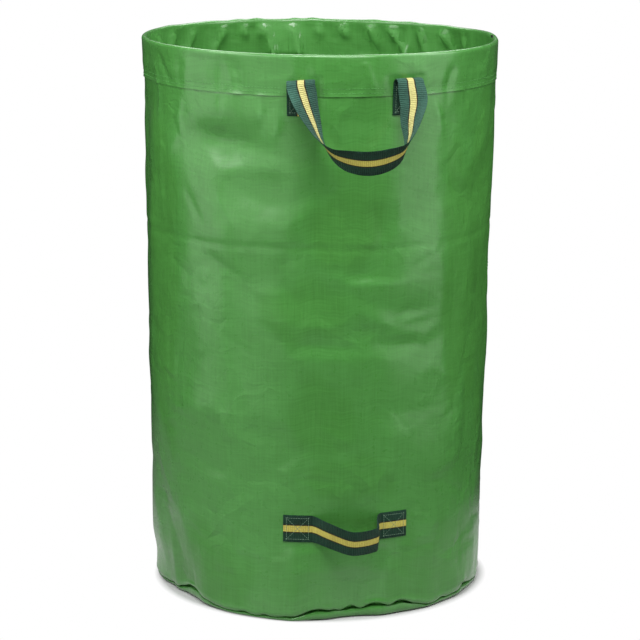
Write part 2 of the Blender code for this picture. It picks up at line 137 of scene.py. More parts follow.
HOLLOWS_FADE_TOP = 0.650
HOLLOWS_FADE_BOTTOM = 0.030
HOLLOWS_FADE_RUN = 0.040
CREASE_HEIGHT = 0.480
CREASE_DEPTH = 0.0011

# Where the coating has lost its shine and its colour is darkened as painted shade: angle, height,
# half width, half height, share
DULL_SHADED_PATCHES = divided((
    (-2, 505, 46, 46, 9), (3, 560, 30, 40, 5), (-16, 402, 50, 36, 6), (-9, 266, 40, 50, 6),
    (40, 430, 24, 165, 8), (60, 450, 75, 185, 9), (-74, 440, 36, 200, 9), (0, 185, 60, 26, 6),
    (96, 300, 60, 120, 6), (128, 480, 70, 90, 7), (160, 330, 60, 80, 6), (182, 540, 50, 60, 6),
    (214, 300, 70, 110, 7), (238, 500, 50, 70, 5), (-58, 45, 85, 60, 6), (38, 45, 85, 60, 5),
), 1, MM, MM, MM, TENTHS)

# Creases of the cloth as chains of points: angle, height in millimetres, and distance out of the
# plain wall in tenths. The cloth between them is stretched into nearly flat facets.
CREASES = (
    ((-58, 642, 3), (-44, 652, 5), (-27, 644, 5)),
    ((-54, 604, -8), (-47, 607, -30), (-36, 607, -35), (-27, 598, -24), (-20, 592, -6)),
    ((-66, 585, 5), (-56, 577, 6), (-45, 574, 14), (-34, 577, 18), (-25, 579, 14), (-13, 567, 6)),
    ((-44, 559, 4), (-36, 546, -16), (-27, 533, -21), (-19, 537, -16), (-12, 551, 0)),
    ((-11, 545, 4), (-13, 529, 10), (-17, 518, 12), (-23, 506, 13), (-34, 501, 10), (-47, 497, 6)),
    ((-8, 560, -2), (-7, 530, -14), (-9, 505, -16), (-14, 490, -10)),
    ((-8, 636, -6), (0, 640, -17), (8, 636, -7)), ((-9, 606, 3), (0, 603, 14), (9, 607, 4)),
    ((-1, 548, 2), (0, 520, 13), (2, 495, 13), (3, 474, 3)),
    ((6, 545, -4), (8, 518, -15), (10, 497, -14), (9, 478, -2)),
    ((16, 580, 4), (15, 540, 9), (15, 500, 9), (18, 465, 6)),
    ((-9, 455, -2), (-4, 450, -10), (3, 443.5, -17), (10, 443.5, -17), (20, 447, -3)),
    ((-4, 441, 2), (3, 436, 9), (10, 436, 9), (20, 439, 3)),
    ((-36, 432, 0), (-30, 424, -10), (-20, 417, -19), (-8, 415, -19), (-3, 424, -6)),
    ((-34, 395, 5), (-24, 386, 12), (-12, 382, 12), (-4, 384, 8)),
    ((0, 423, -6), (6, 410, -10), (13, 401, -9), (23, 398, -3)),
    ((2, 400, 8), (8, 389, 16), (15, 377, 19), (25, 366, 14), (34, 362, 5)),
    ((4, 367, -16), (11, 357, -20), (18, 354, -12), (26, 352, -2)),
    ((-24, 364, -3), (-15, 357, -18), (-7, 355, -20), (1, 353, -12)),
    ((-22, 345, 3), (-14, 341, 9), (-4, 341, 9), (6, 340, 7), (16, 338, 6)),
    ((-52, 405, 4), (-42, 409, 9), (-36, 417, 2)), ((-48, 340, 5), (-40, 318, 9), (-34, 322, 2)),
    ((-66, 256, 2), (-58, 262, 12), (-50, 267, 16), (-45, 257, 9), (-40, 240, 9), (-35, 220, 3)),
    ((-58, 236, -9), (-51, 236, -14), (-46, 228, -8)),
    ((-37, 258, 1), (-32, 265, 13), (-24, 263, 16), (-19, 247, 12), (-15, 222, 3)),
    ((-31, 238, -10), (-25, 235, -15), (-20, 224, -9)),
    ((-70, 205, 2), (-60, 196, -13), (-49, 188, -15), (-40, 181, -4)),
    ((-64, 180, 6), (-50, 172, 9), (-38, 165, 4)),
    ((-84, 172, -6), (-79, 130, -22), (-73, 80, -26), (-66, 42, -14)),
    ((-90, 120, 12), (-84, 80, 16), (-78, 45, 8)), ((-68, 125, 13), (-64, 85, 10), (-58, 55, 3)),
    ((30, 640, 5), (28, 600, 7), (29, 560, 4)),
    ((36, 640, -8), (35, 600, -16), (37, 565, -17), (43, 540, -22), (49, 525, -12)),
    ((43, 556, 6), (49, 574, 19), (58, 603, 15), (66, 612, 3)),
    ((42, 510, 4), (46, 485, 12), (48, 445, 13), (46, 405, 3)),
    ((38, 480, -3), (39, 430, -13), (40, 370, -14), (38, 300, -4)),
    ((33, 440, 7), (34, 380, 8), (33, 320, 6)), ((54, 470, -13), (56, 410, -16), (55, 340, -9)),
    ((44, 265, 3), (42, 235, 12), (40, 205, 5)), ((49, 260, -8), (47, 225, -12), (45, 195, -3)),
    ((26, 178, 2), (31, 184, 11), (38, 192, 12), (45, 205, 3)),
    ((28, 168, -5), (36, 174, -9), (42, 182, -3)),
    ((-14, 166, 3), (-4, 170, 9), (6, 169, 7), (12, 160, 2)),
    ((-11, 126, -12), (-3, 119, -32), (4, 119, -30), (8, 126, -12)),
    ((-7, 68, 5), (0, 69, 8), (8, 62, 4)), ((-6, 55, -5), (0, 52, -13), (7, 46, -6)),
    ((20, 75, 4), (28, 72, 7), (37, 66, 3)), ((20, 60, -4), (27, 56, -9), (35, 52, -4)),
    ((74, 645, 6), (79, 590, 20), (72, 540, 8)),
    ((100, 545, 6), (112, 560, 24), (124, 552, 18), (138, 560, 4)),
    ((104, 520, -12), (118, 512, -26), (132, 518, -14)),
    ((118, 622, -8), (130, 594, -24), (147, 580, -12)),
    ((150, 602, -14), (164, 608, -30), (178, 594, -12)),
    ((152, 565, 10), (166, 560, 20), (180, 566, 8)),
    ((156, 440, 8), (170, 418, 22), (184, 408, 10)),
    ((160, 395, -8), (172, 385, -18), (186, 380, -6)),
    ((194, 545, -8), (208, 532, -24), (222, 541, -10)),
    ((206, 462, 6), (216, 430, 22), (219, 385, 12)),
    ((224, 618, -8), (238, 606, -28), (252, 614, -10)),
    ((230, 340, 6), (244, 326, 24), (258, 300, 12)),
    ((126, 290, -6), (140, 268, -22), (152, 274, -8)),
    ((188, 250, 6), (198, 220, 20), (200, 168, 8)),
    ((112, 170, -8), (118, 110, -26), (127, 50, -12)),
    ((236, 160, -6), (230, 100, -24), (220, 45, -10)), ((168, 130, 6), (176, 88, 18), (178, 45, 6)),
)

# How deep the scattered creases are from side to side
SCATTER_ANGLES = (-125, -108, -92, -64, 44, 66, 92, 110)
SCATTER_DEPTHS = (3.0, 1.0, 0.7, 0.8, 1.6, 1.0, 0.9, 3.0)

# Single folds on and under the hem, and the gathers inside the rim: depth in tenths of a
# millimetre, outwards if positive, then in millimetres the reach to the left and to the right and
# the heights of the fold's line, whose points are (angle, height)
RIM_FOLDS = (
    (-24, 7, 10, (-73, 708), (-69, 690), (-65, 668)),
    (15, 6, 6, (-77, 700), (-74, 660), (-75, 610)), (-15, 4, 5, (-4, 716), (-3, 708), (-2, 700)),
    (18, 6, 9, (3, 716), (4, 700), (7, 668)), (-17, 11, 12, (-2, 700), (-1, 686), (-1, 668)),
    (-20, 9, 12, (36, 702), (34, 686), (32, 668)), (17, 6, 8, (27, 664), (30, 640), (32, 612)),
    (14, 8, 8, (-60, 664), (-62, 630), (-60, 600)), (18, 7, 9, (-21, 660), (-24, 634), (-27, 600)),
    (-15, 6, 7, (-25, 664), (-28, 640), (-31, 616)),
    (-14, 14, 10, (-38, 704), (-36, 690), (-37, 676)),
    (14, 12, 12, (22, 704), (24, 690), (24, 674)),
    (-86, 11, 17, (204, 716), (206, 700), (211, 668), (213, 640)),
    (-68, 13, 10, (198, 714), (196, 696), (194, 660)),
    (-81, 10, 14, (190, 716), (190, 700), (187, 668), (186, 645)),
    (-56, 11, 11, (180, 716), (179, 698), (177, 668), (176, 640)),
    (-60, 11, 13, (171, 714), (169, 694), (168, 656)),
    (-75, 13, 10, (162, 715), (160, 696), (158, 665)),
    (-81, 10, 14, (153, 717), (151, 702), (147, 672)),
    (-101, 11, 14, (146, 716), (142, 698), (137, 670), (134, 640)),
    (-68, 11, 10, (133, 715), (131, 696), (127, 664)),
    (-81, 10, 13, (123, 716), (119, 698), (114, 668)),
    (-68, 11, 11, (113, 714), (109, 692), (104, 662)),
    (-60, 11, 11, (218, 715), (221, 694), (225, 662)),
    (-75, 13, 13, (229, 715), (232, 694), (234, 660)),
    (-52, 11, 11, (241, 714), (244, 690), (247, 664)),
    (-52, 11, 11, (254, 714), (256, 692), (256, 664)),
)

# Where the cloth stands slack above the rod: angle, half width in degrees, rise
RIM_PINCHES = divided((
    (150, 3.0, 12), (163, 4.0, -4), (172, 2.5, 16), (178, 2.0, 12), (185, 3.0, -3), (192, 2.5, 18),
    (199, 2.5, 13), (210, 4.0, 8), (136, 3.0, 9), (121, 4.0, 7), (232, 4.0, 8),
), 1, 1, TENTH_MM)

# Where the wall arches up from the base's edge: from angle, to angle, rise, place of the peak
FOOT_ARCHES = divided((
    (-24.0, -6.5, 24, 0.8), (-4.0, 3.0, 42, 0.55), (3.6, 13.6, 38, 0.5), (14.2, 25.0, 32, 0.3),
    (-72.0, -55.0, 30, 0.4), (44.0, 60.0, 24, 0.5), (96.0, 112.0, 28, 0.5), (128.0, 150.0, 30, 0.4),
    (168.0, 186.0, 26, 0.6), (-116.0, -96.0, 24, 0.5), (-152.0, -134.0, 32, 0.4),
), 1, 1, TENTH_MM, 1)

# Places where webbing is sewn down, so that the cloth lies flat: angle, height, half sizes
SEWN_PLACES = divided((
    (-16.6, 665, 22, 26), (16.6, 665, 22, 26), (163.4, 665, 22, 26), (-163.4, 665, 22, 26),
    (-18.2, 122, 23, 23), (14.7, 122, 23, 23),
), 1, MM, MM, MM)

# Sections of the wall's turned lip: distance out from the foot's outline, height over the seam,
# and the shares of the lip's arch, of its droop and of the climb to the wall
WALL_LIP = divided((
    (-100, 10, 0, 0, 0), (-50, 4, 0, 0, 0), (-20, 0, 0, 0, 0), (-6, 0, 0.1, 0, 0),
    (16, 0, 0.5, 0.3, 0), (38, 0, 1, 1, 0), (52, 0, 1, 0.7, 0.1), (59, 0, 1, 0, 0.32),
    (61, 0, 1, 0, 0.65),
), TENTH_MM, TENTH_MM, 1, 1, 1)

# The base's edge as it turns up: distance out from the foot's outline, share of the cloth's half
# thickness, share of the seam's height, and height added
BASE_EDGE = divided((
    (-40, 1, 0, 0), (-6, 1, 0.06, 0), (18, 1, 0.18, 0), (34, 0, 0.42, 0), (40, 0, 0.74, 0),
    (30, 0, 0.92, 0), (-2, 0, 1, -2), (-16, 0, 1, 1), (-50, 0, 1, 4), (-100, 0, 1, 10),
), TENTH_MM, 1, 1, TENTH_MM)

# The free loop of a lift handle, at even steps along the webbing: the middle of the webbing
# (across, away from the front, up) and the direction its width points
LIFT_LOOP = divided((
    (-67.0, -230.0, 683.5, 0.95, -0.2, 0.15), (-61.5, -235.0, 661.5, 0.9, 0.4, 0.15),
    (-54.5, -242.5, 640.0, 0.7, 0.7, -0.05), (-47.0, -251.5, 619.5, 0.45, 0.85, -0.3),
    (-34.5, -264.5, 604.0, 0.2, 0.8, -0.55), (-15.5, -276.0, 597.0, 0.05, 0.55, -0.85),
    (7.0, -283.0, 595.0, 0.1, 0.4, -0.9), (30.0, -282.5, 598.5, 0.15, 0.5, -0.85),
    (51.0, -276.0, 607.0, 0.05, 0.75, -0.65), (61.5, -262.0, 623.0, -0.25, 0.85, -0.5),
    (66.0, -249.5, 642.5, -0.65, 0.7, -0.3), (71.0, -237.0, 662.0, -0.9, 0.45, -0.1),
    (69.0, -230.0, 684.0, -1.0, -0.2, 0.0),
), MM, MM, MM, 1, 1, 1)
LIFT_PATCH_ANGLE = 16.6
LIFT_PATCH_BOTTOM = 0.645
LIFT_PATCH_TOP = 0.684

# The tipping handle: where it is sewn down, in millimetres along the wall from its middle, and
# the slack bow between (along the wall, out from the wall, up, lean of the top edge in degrees)
TIPPING_ANGLE = -1.75
TIPPING_HEIGHT = 0.122
TIPPING_ENDS = (-79.5, -43.6, 44.0, 79.5)
TIPPING_BOW = divided((
    (-37.0, 3.6, 121.0, 2), (-30.0, 9.6, 119.2, 6), (-18.0, 20.5, 116.4, 10),
    (-4.5, 31.6, 112.6, 14), (3.5, 34.6, 111.2, 15), (17.0, 30.8, 110.8, 15),
    (28.0, 25.4, 111.2, 14), (33.2, 21.6, 111.8, 12), (35.0, 16.4, 113.2, 9), (36.0, 9.4, 117.0, 5),
    (39.0, 3.0, 120.6, 2),
), MM, MM, MM, 1)

# The way in which the rod's open end is cut out of the rolled rim
SLIT_DIRECTION = (-0.2493, -0.9630, 0.1023)

# How far the UV map of a strip's sewn face is shifted along, to tell it apart, and how many times
# brighter the red, green and blue of that face are beside its stripe. That face shows on the lift
# handles high on the bag, so its paler colours are painted light.
FACE_SHIFT = 12.0
SEWN_FACE_LIT_GROUND = (5.4, 2.8, 3.8)

# Webbing that is sewn down: the gap under it, and its boxes of thread
SEWN_GAP = 0.00015
LIFT_BOX_HEIGHT = 0.6645
BOX_STEP = 0.0015
BOX_PITCH = 0.0030
HALF_TURN = np.array([-1.0, -1.0, 1.0])

# The base's middle, and the rod with its bores
BASE_COLUMNS = 288
BASE_RINGS = (0.004, 0.02, 0.04, 0.06, 0.08, 0.10, 0.12, 0.14, 0.16, 0.175, 0.19)
ROD_SIDES = 14
ROD_HALF_GAP = 0.0005
BORE_DEPTH = 0.021
BORE_RADIUS = 0.00155
ROD_BLACK = (0.012, 0.012, 0.013)
PIN_WHITE = (0.60, 0.60, 0.57)
WHITE = (1.0, 1.0, 1.0, 1.0)


# ---- Sizes and colours that a user may change ----

COLOUR = {"subtype": "COLOR", "min": 0.0, "max": 1.0}
POWER = {"unit": "POWER", "min": 0.0, "max": 500.0}
TURN = {"subtype": "ANGLE", "unit": "ROTATION"}


class FabricSettings(PropertyGroup):
    """The coated woven fabric of the wall and the base."""

    light_green: FloatVectorProperty(
        name="Light green", description="Colour of the palest tapes of the weave",
        default=(0.061, 0.232, 0.045), **COLOUR
    )
    deep_green: FloatVectorProperty(
        name="Deep green", description="Colour of the darkest tapes of the weave",
        default=(0.040, 0.160, 0.026), **COLOUR
    )
    # Paler colour of ridges where the coating is rubbing away, also used as a painted highlight on
    # the ridges and on the rim's top
    worn_highlight_green: FloatVectorProperty(
        name="Worn green", description="Colour of the coating where a ridge has been rubbed",
        default=(0.11, 0.34, 0.10), **COLOUR
    )
    inside_light: FloatProperty(
        name="Inside light", description="How much paler the uncoated inside of the cloth is",
        default=1.0, subtype="FACTOR", min=1.0, max=2.0
    )
    thickness: FloatProperty(
        name="Thickness", description="Thickness of one layer of fabric", default=0.0005,
        unit="LENGTH", min=0.0002, max=0.0008
    )
    tape_width: FloatProperty(
        name="Tape width", description="Width of one flat tape of the weave", default=0.0024,
        unit="LENGTH", min=0.001, max=0.005
    )
    fold_depth: FloatProperty(
        name="Fold depth", description="Depth of all folds and wrinkles, 1 as in use",
        default=1.0, subtype="FACTOR", min=0.0, max=2.0
    )
    columns: IntProperty(
        name="Columns", description="Faces round the bag", default=336, min=64, max=400
    )
    rows: IntProperty(
        name="Rows", description="Faces up the outside of the wall", default=168, min=40, max=180
    )


class WebbingSettings(PropertyGroup):
    """The striped webbing of the handles."""

    ground_green: FloatVectorProperty(
        name="Ground green", description="Colour of the webbing beside its stripe",
        default=(0.006, 0.034, 0.018), **COLOUR
    )
    stripe_yellow: FloatVectorProperty(
        name="Stripe yellow", description="Colour of the stripe on the webbing's outer face",
        default=(0.49, 0.44, 0.090), **COLOUR
    )
    # The sewn face's stripe colour is a paler copy of the outer face's: painted light, as that face
    # shows on the lift handles high on the bag
    stripe_pale_lit: FloatVectorProperty(
        name="Stripe pale",
        description="Colour of the stripe on the face that is sewn to the wall",
        default=(0.57, 0.55, 0.22), **COLOUR
    )
    rib_pitch: FloatProperty(
        name="Rib pitch", description="Distance from one cross rib to the next", default=0.0024,
        unit="LENGTH", min=0.0005, max=0.005
    )
    cupping: FloatProperty(
        name="Cupping", description="How far the free webbing bulges between its edges",
        default=0.0005, unit="LENGTH", min=0.0, max=0.002
    )


class ThreadSettings(PropertyGroup):
    """The sewing thread."""

    hem_green: FloatVectorProperty(
        name="Hem thread", description="Colour of the thread in the hem and the side seam",
        default=(0.080, 0.290, 0.065), **COLOUR
    )
    webbing_green: FloatVectorProperty(
        name="Webbing thread", description="Colour of the thread in the webbing ends",
        default=(0.130, 0.230, 0.150), **COLOUR
    )
    pitch: FloatProperty(
        name="Stitch pitch", description="Distance from one stitch to the next", default=0.0042,
        unit="LENGTH", min=0.002, max=0.008
    )
    thread_width: FloatProperty(
        name="Thread width", description="Thickness of the thread", default=0.0006, unit="LENGTH",
        min=0.0002, max=0.001
    )


class StageSettings(PropertyGroup):
    """Floor, light and camera."""

    camera_distance: FloatProperty(
        name="Camera distance", description="Level distance from the bag's axis to the camera",
        default=3.335, unit="LENGTH", min=1.0, max=10.0
    )
    camera_height: FloatProperty(
        name="Camera height", description="Height of the camera over the floor", default=1.0635,
        unit="LENGTH", min=0.0, max=5.0
    )
    camera_turn: FloatProperty(
        name="Camera turn", description="Angle from the front to the camera, as seen from above",
        default=math.radians(-10.7), **TURN
    )
    camera_dip: FloatProperty(
        name="Camera dip", description="How far the camera looks down",
        default=math.radians(12.173), **TURN
    )
    lens: FloatProperty(
        name="Lens", description="Focal length in millimetres", default=145.15, min=20.0,
        max=300.0
    )
    left_light: FloatProperty(
        name="Left light", description="Power of the large light at the left", default=4.75,
        **POWER
    )
    middle_light: FloatProperty(
        name="Middle light", description="Power of the softbox left of the camera", default=4.1,
        **POWER
    )
    right_light: FloatProperty(
        name="Right light", description="Power of the tall light at the right", default=6.7,
        **POWER
    )
    top_light: FloatProperty(
        name="Top light", description="Power of the light above the front", default=37.0, **POWER
    )
    side_light: FloatProperty(
        name="Side light", description="Power of each of the two lights above the sides",
        default=7.5, **POWER
    )
    back_light: FloatProperty(
        name="Back light", description="Power of the light above the back", default=28.0, **POWER
    )
    room_light: FloatProperty(
        name="Room light", description="Strength of the even light from all round", default=0.14,
        min=0.0, max=2.0
    )


# ---- The bag's shape ----


def ease(value):
    """A smooth step from 0 to 1."""
    value = np.clip(value, 0.0, 1.0)
    return value * value * (3.0 - 2.0 * value)


def hump(value, centre, half_width):
    """A smooth rise to 1 at centre."""
    return np.exp(-(((value - centre) / half_width) ** 2))


def turned(angle, centre):
    """The angle from a centre, between -180 and 180 degrees."""
    return (angle - centre + 180.0) % 360.0 - 180.0


def bell(angle, centre, half_width):
    """A smooth rise to 1 at centre, for angles round the bag."""
    return np.exp(-((turned(angle, centre) / half_width) ** 2))


def with_bells(total, angle, rows):
    """A total with a smooth rise added for each row of angle, half width and rise."""
    for at, wide, rise in rows:
        total = total + rise * bell(angle, at, wide)
    return total


def outward(angle):
    """Level directions away from the axis."""
    turn = np.radians(angle)
    return np.stack([np.sin(turn), -np.cos(turn), np.zeros_like(turn)], axis=-1)


def tangent(angle):
    """Level directions round the bag, towards larger angles."""
    turn = np.radians(angle)
    return np.stack([np.cos(turn), np.sin(turn), np.zeros_like(turn)], axis=-1)


def polar(angle, radius, height):
    """Points of the standing bag, whose rim is a little higher at one side."""
    given = (np.asarray(values, float) for values in (angle, radius, height))
    angle, radius, height = np.broadcast_arrays(*given)
    at_seam = SEAM_LIFT * bell(angle, 93.0, 14.0)
    lean = RIM_LEAN * np.cos(np.radians(angle - RIM_HIGH_SIDE)) + at_seam
    points = outward(angle) * radius[..., None]
    points[..., 2] = height + lean * height / HEIGHT
    return points


def waves(angle, seed, count, least, most, tall):
    """A closed ripple round the bag, from a few sine waves with least to most crests."""
    chance = np.random.default_rng(seed)
    total = np.zeros_like(np.asarray(angle, float))
    for _ in range(count):
        crests = chance.integers(least, most + 1)
        total += np.sin(np.radians(angle) * crests + chance.uniform(0.0, 6.28))
    return total * tall / math.sqrt(count)


def foot_radius(angle):
    return with_bells(FOOT_RADIUS + waves(angle, 11, 5, 18, 46, 0.0006), angle, FOOT_SHAPE)


def seam_height(angle):
    return with_bells(SEAM_HEIGHT + waves(angle, 12, 5, 20, 60, 0.0007), angle, SEAM_RISES)


def arch_height(angle):
    """How far the wall's turned lip stands above its joint with the base."""
    total = 0.0003 + np.maximum(0.0, waves(angle, 27, 5, 20, 60, 0.0006))
    for first, last, rise, peak in FOOT_ARCHES:
        part = np.clip(((angle - first) % 360.0) / (last - first), 0.0, 1.0)
        total = total + rise * ease(np.where(part < peak, part / peak, (1.0 - part) / (1.0 - peak)))
    return total


def hollow_depth(angle, height):
    depth = 0.0
    for at, up, wide, tall, deep in HOLLOWS:
        half_angle = math.degrees(wide / WALL_RADIUS_LOW)
        depth = depth + deep * bell(angle, at, half_angle) * hump(height, up, tall)
    below_top = ease((HOLLOWS_FADE_TOP - height) / HOLLOWS_FADE_RUN)
    above_foot = ease((height - HOLLOWS_FADE_BOTTOM) / HOLLOWS_FADE_RUN)
    return depth * below_top * above_foot


def dullness_and_shade(angle, height):
    """0 where the coating shines, towards 1 in the patches without shine with their uneven edges,
    where the colour is also darkened as painted shade.
    """
    total = 0.0
    ragged = waves(angle + 160.0 * height, 41, 5, 6, 26, 0.16)
    ragged = ragged + waves(angle - 90.0 * height, 42, 5, 9, 34, 0.12)
    for at, up, wide, tall, share in DULL_SHADED_PATCHES:
        across = turned(angle, at) / math.degrees(wide / WALL_RADIUS_LOW)
        far = np.hypot(across, (height - up) / tall) + ragged
        total = np.maximum(total, share * ease((1.3 - far) / 0.5))
    return total


def plain_wall(angle, height):
    """The outer face of the wall with its soft hollows, before folds are added."""
    rise = (height - TURN_IN_HEIGHT) / (HEM_EDGE_HEIGHT - TURN_IN_HEIGHT)
    radius = WALL_RADIUS_LOW + (WALL_RADIUS_AT_HEM - WALL_RADIUS_LOW) * np.maximum(0.0, rise)
    radius = radius + 0.8 * (foot_radius(angle) - FOOT_RADIUS) * hump(height, 0.0, 0.09)
    lip = foot_radius(angle) + LIP_OVERHANG + SOLID_FABRIC / 2
    start = seam_height(angle) + LIP_HEIGHT
    part = np.clip((height - start) / (TURN_IN_HEIGHT - start), 0.0, 1.0)
    turned_in = lip + (radius - lip) * np.sin(part * math.pi / 2)
    return np.where(height < TURN_IN_HEIGHT, turned_in, radius) - hollow_depth(angle, height)


def fold_field(angle, height, line, left, right):
    """A creased fold along a line of points, fading out at both of its ends."""
    radius = 0.5 * (WALL_RADIUS_LOW + WALL_RADIUS_AT_HEM)
    across = np.radians(turned(angle, line[0][0])) * radius
    points = [(math.radians(at - line[0][0]) * radius, up) for at, up in line]
    nearest = np.full(np.broadcast(across, height).shape, 1e9)
    signed, along = np.zeros_like(nearest), np.zeros_like(nearest)
    for index, ((x0, y0), (x1, y1)) in enumerate(zip(points, points[1:])):
        run = math.hypot(x1 - x0, y1 - y0)
        ux, uy = (x1 - x0) / run, (y1 - y0) / run
        t = np.clip(((across - x0) * ux + (height - y0) * uy) / run, 0.0, 1.0)
        dx, dy = across - (x0 + ux * run * t), height - (y0 + uy * run * t)
        far = np.hypot(dx, dy)
        closer = far < nearest
        nearest = np.where(closer, far, nearest)
        signed = np.where(closer, np.where(ux * dy - uy * dx >= 0.0, far, -far), signed)
        along = np.where(closer, (index + t) / (len(points) - 1), along)
    reach = np.where(signed > 0.0, left, right)
    flank = np.clip(1.0 - np.abs(signed) / reach, 0.0, 1.0) ** 1.5
    return flank * (0.1 + 0.9 * ease(along / 0.3) * ease((1.0 - along) / 0.3))


def small_folds():
    """Short wrinkles all over the wall, streaks at its sides, gathers under the rim and puckers
    over the foot."""
    chance = np.random.default_rng(31)
    found = []
    for _ in range(260):
        at, up = chance.uniform(-180, 180), chance.uniform(0.05, 0.65)
        steep = chance.choice([0.1, 0.5, 1.4]) * chance.choice([-1, 1])
        run = chance.uniform(0.012, 0.045)
        dx = run / math.hypot(1.0, steep)
        turn = math.degrees(dx / 0.22)
        line = ((at - turn, up - dx * steep), (at + turn, up + dx * steep))
        deep = chance.uniform(0.2, 0.9) * chance.choice([-1, 1])
        wide = chance.uniform(5.0, 11.0)
        found.append((deep, wide, wide * chance.uniform(0.6, 1.6), line))
    for _ in range(46):
        at = chance.choice([chance.uniform(-104, -64), chance.uniform(40, 84)])
        up, run = chance.uniform(0.10, 0.62), chance.uniform(0.02, 0.09)
        lean = chance.normal(0.0, 1.2)
        wide = chance.uniform(6.0, 13.0)
        deep = chance.uniform(0.35, 0.9) * chance.choice([-1, 1])
        found.append((deep, wide, wide, ((at - lean, up - run), (at, up), (at + lean, up + run))))
    for count, spread, ends, widest, deepest, start in (
        (64, 2.5, (0.600, 0.668), 15.0, 1.0, 0.712),
        (60, 2.0, (0.030, 0.085), 14.0, 0.9, 0.002),
    ):
        for _ in range(count):
            at, lean = chance.uniform(-180, 180), chance.normal(0.0, spread)
            end = chance.uniform(*ends)
            wide = chance.uniform(6.0, widest)
            deep = chance.uniform(0.3, deepest) * chance.choice([-1, 1])
            found.append((deep, wide, wide, ((at, start), (at + lean, end))))
    return found


def crease_points():
    """The creases' points, with more scattered over the rest of the wall, and their links."""
    chance = np.random.default_rng(17)
    points, links = [], []
    for chain in CREASES:
        links.extend((len(points) + i, len(points) + i + 1) for i in range(len(chain) - 1))
        points.extend((turned(at, 0.0), up / MM, out / TENTHS) for at, up, out in chain)
    for _ in range(2600):
        at, up = chance.uniform(-180, 180), chance.uniform(0.012, 0.690)
        space, deep = chance.uniform(0.026, 0.060), chance.normal(0.0, 1.0)
        away = np.array([(turned(at, a) * MM_PER_DEGREE / MM, up - h) for a, h, _ in points])
        if np.hypot(*away.T).min() > space:
            points.append((at, up, deep * np.interp(at, SCATTER_ANGLES, SCATTER_DEPTHS)))
    for at in np.arange(-180, 180, 12.0):
        points.extend(((at, -0.010, 0.0), (at, 0.730, 0.0)))
    return points, links


def facets(angle, height):
    """The cloth between the creases as flat triangles, in millimetres out of the plain wall."""
    points, links = crease_points()
    flat, outs, edges = [], [], []
    for shift in (-360.0, 0.0, 360.0):
        place = {}
        for index, (at, up, out) in enumerate(points):
            if abs(at + shift) < 215.0:
                place[index] = len(flat)
                flat.append(Vector(((at + shift) * MM_PER_DEGREE, up * MM)))
                outs.append(out)
        for one, two in links:
            near = abs(points[one][0] - points[two][0]) < 90.0
            if near and one in place and two in place:
                edges.append((place[one], place[two]))
    corners, _, triangles, origins, _, _ = delaunay_2d_cdt(flat, edges, [], 0, 1e-5)
    values = [outs[origin[0]] if origin else 0.0 for origin in origins]
    x, y = angle * MM_PER_DEGREE, height * MM
    found = np.zeros(np.broadcast(x, y).shape)
    for triangle in triangles:
        (ax, ay), (bx, by), (cx, cy) = (corners[i] for i in triangle)
        area = (bx - ax) * (cy - ay) - (cx - ax) * (by - ay)
        if abs(area) < 1e-6:
            continue
        i0, i1 = np.searchsorted(x[:, 0], (min(ax, bx, cx), max(ax, bx, cx)))
        k0, k1 = np.searchsorted(y[0], (min(ay, by, cy), max(ay, by, cy)))
        px, py = x[i0:i1], y[:, k0:k1]
        u = ((px - ax) * (cy - ay) - (cx - ax) * (py - ay)) / area
        v = ((bx - ax) * (py - ay) - (px - ax) * (by - ay)) / area
        inside = (u >= -1e-9) & (v >= -1e-9) & (u + v <= 1.0 + 1e-9)
        va, vb, vc = (values[i] for i in triangle)
        found[i0:i1, k0:k1][inside] = (va + u * (vb - va) + v * (vc - va))[inside]
    return found


def soften(table):
    """Rounds a table of the whole wall a little, closed round the bag."""
    table = 0.25 * np.roll(table, 1, 0) + 0.5 * table + 0.25 * np.roll(table, -1, 0)
    padded = np.pad(table, ((0, 0), (1, 1)), mode="edge")
    return 0.25 * padded[:, :-2] + 0.5 * table + 0.25 * padded[:, 2:]


def relief():
    """Tables of how far the folds stand out of the plain wall, and of the rubbing on their ridges,
    which also paints highlights on them.
    """
    angle = np.arange(-180.0, 180.0, ANGLE_STEP)[:, None]
    height = np.arange(LOWEST, 0.7245, HEIGHT_STEP)[None, :]
    out = soften(soften(facets(angle, height)))
    rim_folds = [
        (deep / TENTHS, left, right, [(at, up / MM) for at, up in line])
        for deep, left, right, *line in RIM_FOLDS
    ]
    for deep, left, right, line in rim_folds + small_folds():
        ups = [up for _, up in line]
        reach = max(left, right) / MM
        k0, k1 = np.searchsorted(height[0], (min(ups) - reach, max(ups) + reach))
        out[:, k0:k1] += deep * fold_field(angle, height[:, k0:k1], line, left / MM, right / MM)
    away = np.abs(height - CREASE_HEIGHT - waves(angle, 21, 4, 2, 9, 0.0012))
    out -= MM * CREASE_DEPTH * np.clip(1.0 - away / 0.0055, 0.0, 1.0) ** 1.5
    slow = waves(angle + 40.0 * height, 22, 6, 5, 16, 0.35) * np.cos(height * 21.0 + 1.3)
    out += slow + waves(angle - 70.0 * height, 23, 6, 8, 22, 0.30)
    bend = (np.roll(out, 2, 0) + np.roll(out, -2, 0) - 2.0 * out) / 15.0
    bend[:, 2:-2] += (out[:, 4:] + out[:, :-4] - 2.0 * out[:, 2:-2]) / 16.0
    # Convex ridges are marked for paler colour: rubbing, and a painted highlight along their crests
    worn_and_painted_light = soften(np.clip(-bend * 9.0 - 0.20, 0.0, 1.0))
    return out / MM, worn_and_painted_light


RELIEF, RIDGE_WEAR_AND_HIGHLIGHT = relief()


